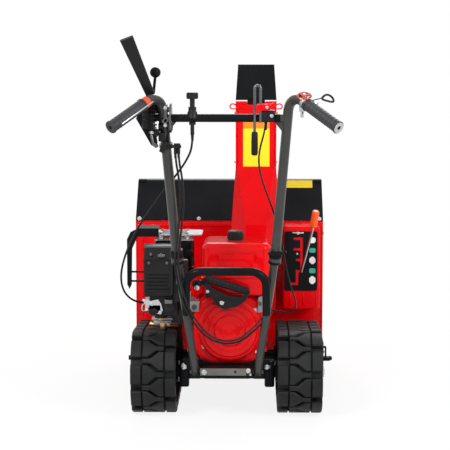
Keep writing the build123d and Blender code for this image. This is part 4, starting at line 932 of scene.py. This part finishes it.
shieldShape = {
    "rods": (
        ((-206, -50, 526), (-206, -50, 531), 5.5, 6, 0.6),
        ((-206, 30, 526), (-206, 30, 531), 5.5, 6, 0.6),
        ((-126, -50, 526), (-126, -50, 531), 5.5, 6, 0.6),
        ((-126, 30, 526), (-126, 30, 531), 5.5, 6, 0.6),
    ),
    "rows": (
        ((-204, -58, 526.4), (-128, -51, 528.4), 0.8, 6, (0, 17, 0)),
    ),
}
makePiece("shieldSlots", shieldShape, darkSteel)
mufflerTrimShape = {
    "boxes": (
        ((-226.8, -66, 420), (-105.2, 46, 426), 2.0),
    ),
    "rods": (
        ((-118, -60, 470), (-118, -98, 470), 12.0, 28, 2.0),
    ),
}
makePiece("mufflerTrim", mufflerTrimShape, blackPaint)
sparkPlugShape = {
    "rods": (
        ((-198, -88, 306), (-222, -88, 306), 6.5, 18, 1.0),
        ((-222, -88, 306), (-240, -88, 306), 4.0, 14, 0.8),
    ),
}
makePiece("sparkPlug", sparkPlugShape, whiteFilm)
makeWire("plugLead", (
    (-238, -88, 306), (-252, -90, 312), (-246, -104, 346), (-214, -132, 352), (-160, -140, 350),
    (-112, -155, 338), (-98, -168, 322),
), 3.5, blackPlastic)
print("engine trim ready")


# chassis: side strips, rear lip, brackets on the rear axle, latch and caps on the axles' ends
stripShape = {
    "y": -240, "thickness": 3, "shelfX": 101, "shelfHalf": 18,
    "corners": ((80, 160), (96, 160), (122, 238), (110, 238)),  # way out, height
}
bm = bmesh.new()
for side in (-1, 1):
    corners = [(side * x, stripShape["y"], z) for x, z in stripShape["corners"]]
    addPlate(bm, corners, (0, stripShape["thickness"], 0), 0.5)
    x = side * stripShape["shelfX"]
    addBox(bm, (x - stripShape["shelfHalf"], -240, 196), (x + stripShape["shelfHalf"], -166, 204), 1.0)
finishPiece(bm, "chassisStrips", redPaint)
chassisLipShape = {
    "boxes": (
        ((-104, -308.5, 129), (104, -304.5, 137.5), 1.2),
        ((-128, -241, 138), (128, -237.5, 172), 1.0),
    ),
}
makePiece("chassisLip", chassisLipShape, blackPaint)
axleBracketShape = {
    "boxes": (
        ((-143, -238, 86), (-113, -213, 166), 6.0),
        ((113, -238, 86), (143, -213, 166), 6.0),
        ((-122, -232, 110), (-78, -214, 132), 4.0),
        ((78, -232, 110), (122, -214, 132), 4.0),
    ),
}
makePiece("axleBrackets", axleBracketShape, blackPaint)
trackLatchShape = {
    "boxes": (
        ((291, 103, 95), (326, 127, 108), 2.5),
        ((289, 105, 100), (294, 125, 142), 1.5),
        ((292, 108, 136), (314, 122, 142), 1.5),
        ((310, 108, 106), (315, 122, 140), 1.5),
    ),
    "rods": (
        ((324, 115, 102), (333, 115, 102), 6.0, 6, 0.8),
    ),
}
makePiece("trackLatch", trackLatchShape, blackPaint)
axleCapShape = {
    "x": 286,
    "spots": ((-185, 125, 17.0), (115, 112.5, 14.0)),  # depth, height, size
    # share of the size, height
    "profile": ((0, 8.5), (0.5, 8.5), (0.68, 6), (0.72, 1), (1.2, 0), (1.2, -3), (0, -3)),
}
bm = bmesh.new()
for side in (-1, 1):
    for y, z, size in axleCapShape["spots"]:
        profile = [(max(share * size, 0.01), height) for share, height in axleCapShape["profile"]]
        addTurned(bm, (side * axleCapShape["x"], y, z), (side, 0, 0), profile, 28)
finishPiece(bm, "axleCaps", darkSteel)
print("chassis trim ready")


# handlebars: joint collars with a clip, grips with their rings, the left grip's band and a steel strip painting
# its highlight, the right grip's clamp and an end disc painted pale for the highlight on its end face
handleLine = {
    "foot": (90, -285, 131), "joint": (142, -374, 505), "bend": (178, -510, 980), "tip": (305, -653.9, 890),
}


def tubePoint(side, z, lower=False):
    start, end = (Vector(handleLine[key]) for key in (("foot", "joint") if lower else ("joint", "bend")))
    point = start.lerp(end, (z - start.z) / (end.z - start.z))
    return Vector((point.x * side, point.y, point.z))


collarShape = {"upper": (500, 522, 18.8), "lower": (482, 490, 18.6), "clipZ": 512}  # from, to, radius
bm = bmesh.new()
for side in (-1, 1):
    for key in ("upper", "lower"):
        low, high, radius = collarShape[key]
        start, end = (tubePoint(side, z, key == "lower") for z in (low, high))
        addRod(bm, start, end, radius, steps=32, rounding=2.0)
joint = tubePoint(1, collarShape["clipZ"])
addBox(bm, (joint.x - 22, joint.y - 24, 506), (joint.x + 18, joint.y - 12, 517), 3.0, (12, "Y"))
addRod(bm, (joint.x + 12, joint.y - 18, 512), (joint.x + 30, joint.y - 20, 520), 4.0, steps=14, rounding=1.0)
finishPiece(bm, "jointCollars", blackPaint)

gripShape = {
    "rings": 9, "firstRing": 18, "ringPitch": 12.5, "ringHalf": 3.0, "ringRadius": 16.8,
    "flange": (136, 130, 18.4), "clamp": (149, 139, 17.8), "band": (154, 136.5, 15.6),  # from, to, radius
    "strip": (26, 158, 2.8), "stripOff": (13.8, -11.4, -2.0), "clampBolt": (-4, -15.6, 8.5),
    "end": ((16.0, 0), (18.0, 1.0), (18.0, 5.0), (16.0, 6.6), (8, 6.4), (5.4, 6.0), (4.8, 2.0), (0.01, 1.5)),
    "endDisc": ((5.5, 0), (15.0, 0), (16.2, 1.2), (15.6, 2.6), (12.0, 3.6), (6.4, 3.4), (5.5, 2.4)),
}


# a sleeve round the grip's line, measured back from its tip
def addSleeve(bm, tip, out, sleeve, steps=40, rounding=0.8):
    start, end, radius = sleeve
    addRod(bm, tip - out * start, tip - out * end, radius, steps=steps, rounding=rounding)


for side, ringName in ((-1, "gripRingsLeft"), (1, "gripRingsRight")):
    bend, tip = (Vector((handleLine[key][0] * side, *handleLine[key][1:])) for key in ("bend", "tip"))
    out = (tip - bend).normalized()
    bm = bmesh.new()
    for step in range(gripShape["rings"]):
        middle = gripShape["firstRing"] + step * gripShape["ringPitch"]
        ring = (middle + gripShape["ringHalf"], middle - gripShape["ringHalf"], gripShape["ringRadius"])
        addSleeve(bm, tip, out, ring)
    addTurned(bm, tip - out * 6, out, gripShape["end"], 40)
    addSleeve(bm, tip, out, gripShape["flange"], rounding=1.6)
    finishPiece(bm, ringName, gripRubber)
    bm = bmesh.new()
    if side > 0:
        # the end disc is painted pale grey for the highlight on the grip's end face
        addTurned(bm, tip - out * 1.5, out, gripShape["endDisc"], 40)
        finishPiece(bm, "gripEndDisc", endFaceHighlightRubber)
        bm = bmesh.new()
        addSleeve(bm, tip, out, gripShape["clamp"])
        addBolt(bm, tip - out * 144 + Vector(gripShape["clampBolt"]), (0, -1, 0.4), 5.0)
        finishPiece(bm, "gripClamp", bareSteel)
    else:
        # a bare-steel strip half sunk in the left grip: a painted highlight along the grip
        addSleeve(bm, tip + Vector(gripShape["stripOff"]), out, gripShape["strip"], steps=16, rounding=1.2)
        finishPiece(bm, "gripHighlightStrip", bareSteel)
        bm = bmesh.new()
        addSleeve(bm, tip, out, gripShape["band"])
        finishPiece(bm, "gripBand", bandOrange)
print("handlebar trim ready")


# left controls: toothed disc, clutch housing with its bracket, links, bolts, cable ends and boots
crossbarY = -489.1
leverDiscShape = {
    "pegs": (
        ("X", (crossbarY, 908), 40, 22, 0, 360 / 22, (-205, -193), 2.6, 10, 0.0),
    ),
    "turned": (
        (
            (-205, crossbarY, 908), (-1, 0, 0),
            ((0.01, 5), (9, 5), (11, 3), (11, 1), (26, 1), (28, 3), (34, 3), (36, -0.5)), 40,
        ),
    ),
    "boxes": (
        ((-214, -505, 858), (-184, -484, 880), 4.0, (18, "Y")),
        ((-224, -507, 884), (-206, -488, 934), 4.0),
        ((-206, -527, 944), (-178, -499, 960), 5.0, (-16, "Y")),
    ),
    "rods": (
        ((-226, -504, 912), (-206, -504, 912), 9.0, 20, 1.5),
    ),
}
makePiece("leverDisc", leverDiscShape, blackPlastic)
clutchHousingShape = {
    "boxes": (
        ((-232, -514, 876), (-203, -490, 960), 9.0),
        ((-186, -506, 842), (-168, -487, 868), 4.0),
    ),
    "rods": (
        ((-186, -497, 884), (-170, -497, 884), 9.0, 20, 1.5),
        ((-178, -500, 812), (-166, -500, 840), 7.5, 20, 1.5),
    ),
    "rows": (
        ((-230, -516, 886), (-206, -512, 892), 1.6, 4, (0, 0, 13)),
    ),
}
makePiece("clutchHousing", clutchHousingShape, blackPlastic)
leverBracketShape = {
    "plates": (
        (
            (
                (-248, -500, 906), (-238, -500, 926), (-212, -500, 930), (-192, -500, 862),
                (-188, -500, 838), (-196, -500, 828), (-206, -500, 832),
            ),
            (0, 4, 0), 0.8,
        ),
    ),
    "rods": (
        ((-196, -502, 832), (-196, -488, 832), 5.0, 18, 0.8),
    ),
}
makePiece("leverBracket", leverBracketShape, blackPaint)
linkShape = {
    "boxes": (
        ((-171, -513, 884), (-160, -500, 946), 2.0),
        ((-176, -513, 896), (-150, -507, 908), 2.0, (-20, "Y")),
    ),
    "rods": (
        ((-206, -506, 862), (-198, -506, 832), 4.0, 14, 0.8),
        ((-196, -503, 838), (-190, -503, 826), 5.5, 6, 0.6),
    ),
    "pegs": (
        ("X", (crossbarY, 908), 33, 7, 200, 22, (-150.5, -146.5), 3.4, 12, 0.5),
    ),
}
makePiece("linkPlates", linkShape, darkSteel)
controlBoltShape = {
    "bolts": (
        ((-166, -513, 936), (0, -1, 0), 4.5),
        ((-166, -513, 888), (0, -1, 0), 4.5),
        ((-220, -507, 892), (0, -1, 0), 4.5),
        ((-204, -505, 868), (0, -1, 0), 5.0),
    ),
}
makePiece("controlBolts", controlBoltShape, bareSteel)
cableEndShape = {
    "rods": (
        ((-160, -486, 868), (-160, -486, 838), 4.6, 16, 1.0),
        ((-140, -476, 836), (-140, -476, 806), 4.6, 16, 1.0),
        ((-131, -476, 836), (-131, -476, 806), 4.6, 16, 1.0),
    ),
    "tapers": (
        ((-160, -486, 838), (-160, -486, 826), 3.8, 3.2, 16),
        ((-140, -476, 806), (-140, -476, 794), 3.8, 3.2, 16),
        ((-131, -476, 806), (-131, -476, 794), 3.8, 3.2, 16),
        ((-92, -489, 861), (-92, -489, 843), 4.6, 3.4, 16),
        ((112, -489, 896), (112, -489, 874), 4.4, 3.2, 16),
    ),
}
makePiece("cableEnds", cableEndShape, blackPlastic)
throttleBootShape = {
    "pegs": (
        ("Z", (-92, crossbarY), 14.6, 12, 0, 30, (961, 976), 1.8, 8, 0.0),
    ),
    "turned": (
        (
            (-92, crossbarY, 920), (0, 0, 1),
            ((8, 16), (10.5, 13), (11.5, 6), (13.5, 4), (14.5, -6), (16, -10), (16, -14), (9, -15)), 32,
        ),
    ),
}
makePiece("throttleBoot", throttleBootShape, blackPlastic)
leverBootShape = {
    "turned": (
        (
            (-196, -487, 925), (0, 0.05, 1),
            ((12, -6), (12, 4), (9, 10), (10, 13), (7, 20), (7.5, 23), (5, 30), (4.2, 38)), 28,
        ),
    ),
}
makePiece("leverBoot", leverBootShape, blackPlastic)
print("left controls ready")


# right hand lever: red latch ring on a zinc post, and the pull loop on its rod
latchRing = {
    "centre": (215.6, -558, 971), "out": (0, -0.44, 0.9), "post": (-16, 6, 4.2),
    "spokes": (20, 140, 260), "spokeFrom": 6, "spokeTo": 17, "spokeRadius": 3.2,
    "rim": ((19.5, -2), (21.5, 0), (19.5, 2), (15.5, 2), (14.5, 0), (15.5, -2), (19.5, -2)),
    "hub": ((0.01, 3), (6, 3), (7.5, 1), (7.5, -5), (0.01, -5)),
}
ringCentre, ringOut = Vector(latchRing["centre"]), Vector(latchRing["out"]).normalized()
bm = bmesh.new()
addTurned(bm, ringCentre, ringOut, latchRing["rim"], 48)
addTurned(bm, ringCentre, ringOut, latchRing["hub"], 28)
for angle in latchRing["spokes"]:
    across = Matrix.Rotation(math.radians(angle), 4, ringOut) @ Vector((1, 0, 0))
    start, end = ringCentre + across * latchRing["spokeFrom"], ringCentre + across * latchRing["spokeTo"]
    addRod(bm, start, end, latchRing["spokeRadius"], steps=14)
finishPiece(bm, "latchPlate", redAnodised)
latchClampShape = {
    "boxes": (
        ((203, -560, 928), (218, -544, 954), 2.5),
    ),
    "rods": (
        ((208, -556, 953), (232, -562, 950), 4.5, 16, 0.8),
        ((232, -560, 956), (252, -574, 950), 5.0, 16, 1.0),
        ((210, -553, 930), (210, -553, 912), 5.0, 6, 0.8),
    ),
}
postFoot, postTop, postRadius = latchRing["post"]
bm = bmesh.new()
addRod(bm, ringCentre + ringOut * postFoot, ringCentre + ringOut * postTop, postRadius, steps=18, rounding=0.8)
addParts(bm, latchClampShape)
latchClamp = finishPiece(bm, "latchClamp", bareSteel)
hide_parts("speed_lever")
pullWires = (
    ("pullRod", 1.6, darkSteel, "bare_steel", (
        (236, -562, 958), (246, -578, 962), (258, -592, 966), (266, -598, 968),
    )),
    ("pullLoop", 2.9, blackPlastic, "black_plastic", (
        (262, -596, 966), (268, -600, 975), (280, -606, 977), (291, -611, 968), (294, -613, 958),
        (287, -611, 957), (276, -606, 960), (266, -601, 962), (262, -596, 966),
    )),
)
for wireName, wireRadius, wireMaterial, wireSlot, wirePoints in pullWires:
    makeWire(wireName, wirePoints, wireRadius, wireMaterial)
print("right controls ready")


# crossbar: its black coat, the crank's red latch, bracket, rubber handle and bolts
crossbarCoatShape = {
    "rods": (
        ((-152, crossbarY, 907), (152, crossbarY, 907), 11.35, 40, 0.0),
    ),
}
makePiece("crossbarCoat", crossbarCoatShape, blackPaint)
crankLatchShape = {
    "boxes": (
        ((88, -512, 928), (124, -503, 947), 2.5),
    ),
    "rods": (
        ((120, -508, 940), (136, -508, 948), 4.0, 14, 1.0),
    ),
}
makePiece("crankLatch", crankLatchShape, redPaint)
crankHandleShape = {
    "boxes": (
        ((98, -506, 896), (137, -476, 930), 5.0),
    ),
    "turned": (
        (
            (81, -504.4, 805), (0, 0, 1),
            ((4.2, 66), (8.2, 64), (8.6, 60), (9.4, 40), (9.4, 6), (8.0, 0), (0.01, -1.5)), 28,
        ),
    ),
}
makePiece("crankHandle", crankHandleShape, blackPlastic)
crankBoltsShape = {
    "bolts": (
        ((128, -506, 914), (0, -1, 0), 4.5),
        ((115, -512, 938), (0, -1, 0), 4.0),
    ),
}
makePiece("crankBolts", crankBoltsShape, bareSteel)
print("crossbar trim ready")


# floor, world and lamps: a plain white studio
studio = {
    "floorSize": 12.0,
    "floorWhite": 0.86,
    "floorRoughness": 0.9,
    "floorGlow": 0.86,
    "fadeFrom": 0.7,
    "fadeTo": 2.2,
    "worldStrength": 0.55,
    "keyPower": 82.0,
    "fillPower": 58.0,
    "backPower": 60.0,
}


# how far a ray is one that sees the background itself, straight or in a reflection
def seenDirectly(tree):
    lightPath = tree.nodes.new("ShaderNodeLightPath")
    first = tree.nodes.new("ShaderNodeMath")
    second = tree.nodes.new("ShaderNodeMath")
    first.operation = second.operation = "MAXIMUM"
    tree.links.new(lightPath.outputs["Is Camera Ray"], first.inputs[0])
    tree.links.new(lightPath.outputs["Is Glossy Ray"], first.inputs[1])
    tree.links.new(first.outputs[0], second.inputs[0])
    tree.links.new(lightPath.outputs["Is Transmission Ray"], second.inputs[1])
    return second.outputs[0]


def makeFloor():
    bm = bmesh.new()
    bmesh.ops.create_grid(bm, x_segments=1, y_segments=1, size=studio["floorSize"])
    mesh = bpy.data.meshes.new("floor")
    bm.to_mesh(mesh)
    bm.free()
    floor = linkObject(bpy.data.objects.new("floor", mesh))
    material, tree, shader = newMaterial("floorWhite")
    shader.inputs["Base Color"].default_value = (*[studio["floorWhite"]] * 3, 1)
    shader.inputs["Roughness"].default_value = studio["floorRoughness"]
    glow = tree.nodes.new("ShaderNodeEmission")
    share = tree.nodes.new("ShaderNodeMath")
    share.operation = "MULTIPLY"
    # shadows near the machine stay, and the floor turns to plain white further out
    coords = tree.nodes.new("ShaderNodeTexCoord")
    reach = tree.nodes.new("ShaderNodeVectorMath")
    reach.operation = "LENGTH"
    fade = tree.nodes.new("ShaderNodeMapRange")
    fade.inputs["From Min"].default_value = studio["fadeFrom"]
    fade.inputs["From Max"].default_value = studio["fadeTo"]
    fade.inputs["To Min"].default_value = studio["floorGlow"]
    fade.inputs["To Max"].default_value = 1.0
    tree.links.new(coords.outputs["Object"], reach.inputs[0])
    tree.links.new(reach.outputs["Value"], fade.inputs["Value"])
    tree.links.new(fade.outputs["Result"], share.inputs[1])
    mix = tree.nodes.new("ShaderNodeMixShader")
    tree.links.new(seenDirectly(tree), share.inputs[0])
    tree.links.new(share.outputs[0], mix.inputs["Fac"])
    tree.links.new(shader.outputs["BSDF"], mix.inputs[1])
    tree.links.new(glow.outputs["Emission"], mix.inputs[2])
    tree.links.new(mix.outputs["Shader"], tree.nodes["Material Output"].inputs["Surface"])
    mesh.materials.append(material)


makeFloor()

world = bpy.data.worlds.new("studio")
bpy.context.scene.world = world
world.use_nodes = True
worldTree = world.node_tree
background = worldTree.nodes["Background"]
background.inputs["Color"].default_value = (1, 1, 1, 1)
background.inputs["Strength"].default_value = studio["worldStrength"]
seenBackground = worldTree.nodes.new("ShaderNodeBackground")
seenBackground.inputs["Color"].default_value = (1, 1, 1, 1)
seenBackground.inputs["Strength"].default_value = 1.0
seenMix = worldTree.nodes.new("ShaderNodeMixShader")
worldTree.links.new(seenDirectly(worldTree), seenMix.inputs["Fac"])
worldTree.links.new(background.outputs["Background"], seenMix.inputs[1])
worldTree.links.new(seenBackground.outputs["Background"], seenMix.inputs[2])
worldTree.links.new(seenMix.outputs["Shader"], worldTree.nodes["World Output"].inputs["Surface"])

lamps = (
    # name, place, power, size
    ("keyLamp", (-1.8, -2.6, 2.9), studio["keyPower"], 0.9),
    ("fillLamp", (2.4, -2.2, 2.0), studio["fillPower"], 1.2),
    ("backLamp", (0.3, 2.6, 2.6), studio["backPower"], 2.0),
)
for name, place, power, size in lamps:
    lampData = bpy.data.lights.new(name, "AREA")
    lampData.energy = power
    lampData.size = size
    lamp = linkObject(bpy.data.objects.new(name, lampData))
    lamp.location = place
    lamp.rotation_euler = (Vector((0, 0, 0.5)) - Vector(place)).to_track_quat("-Z", "Y").to_euler()
print("studio ready")
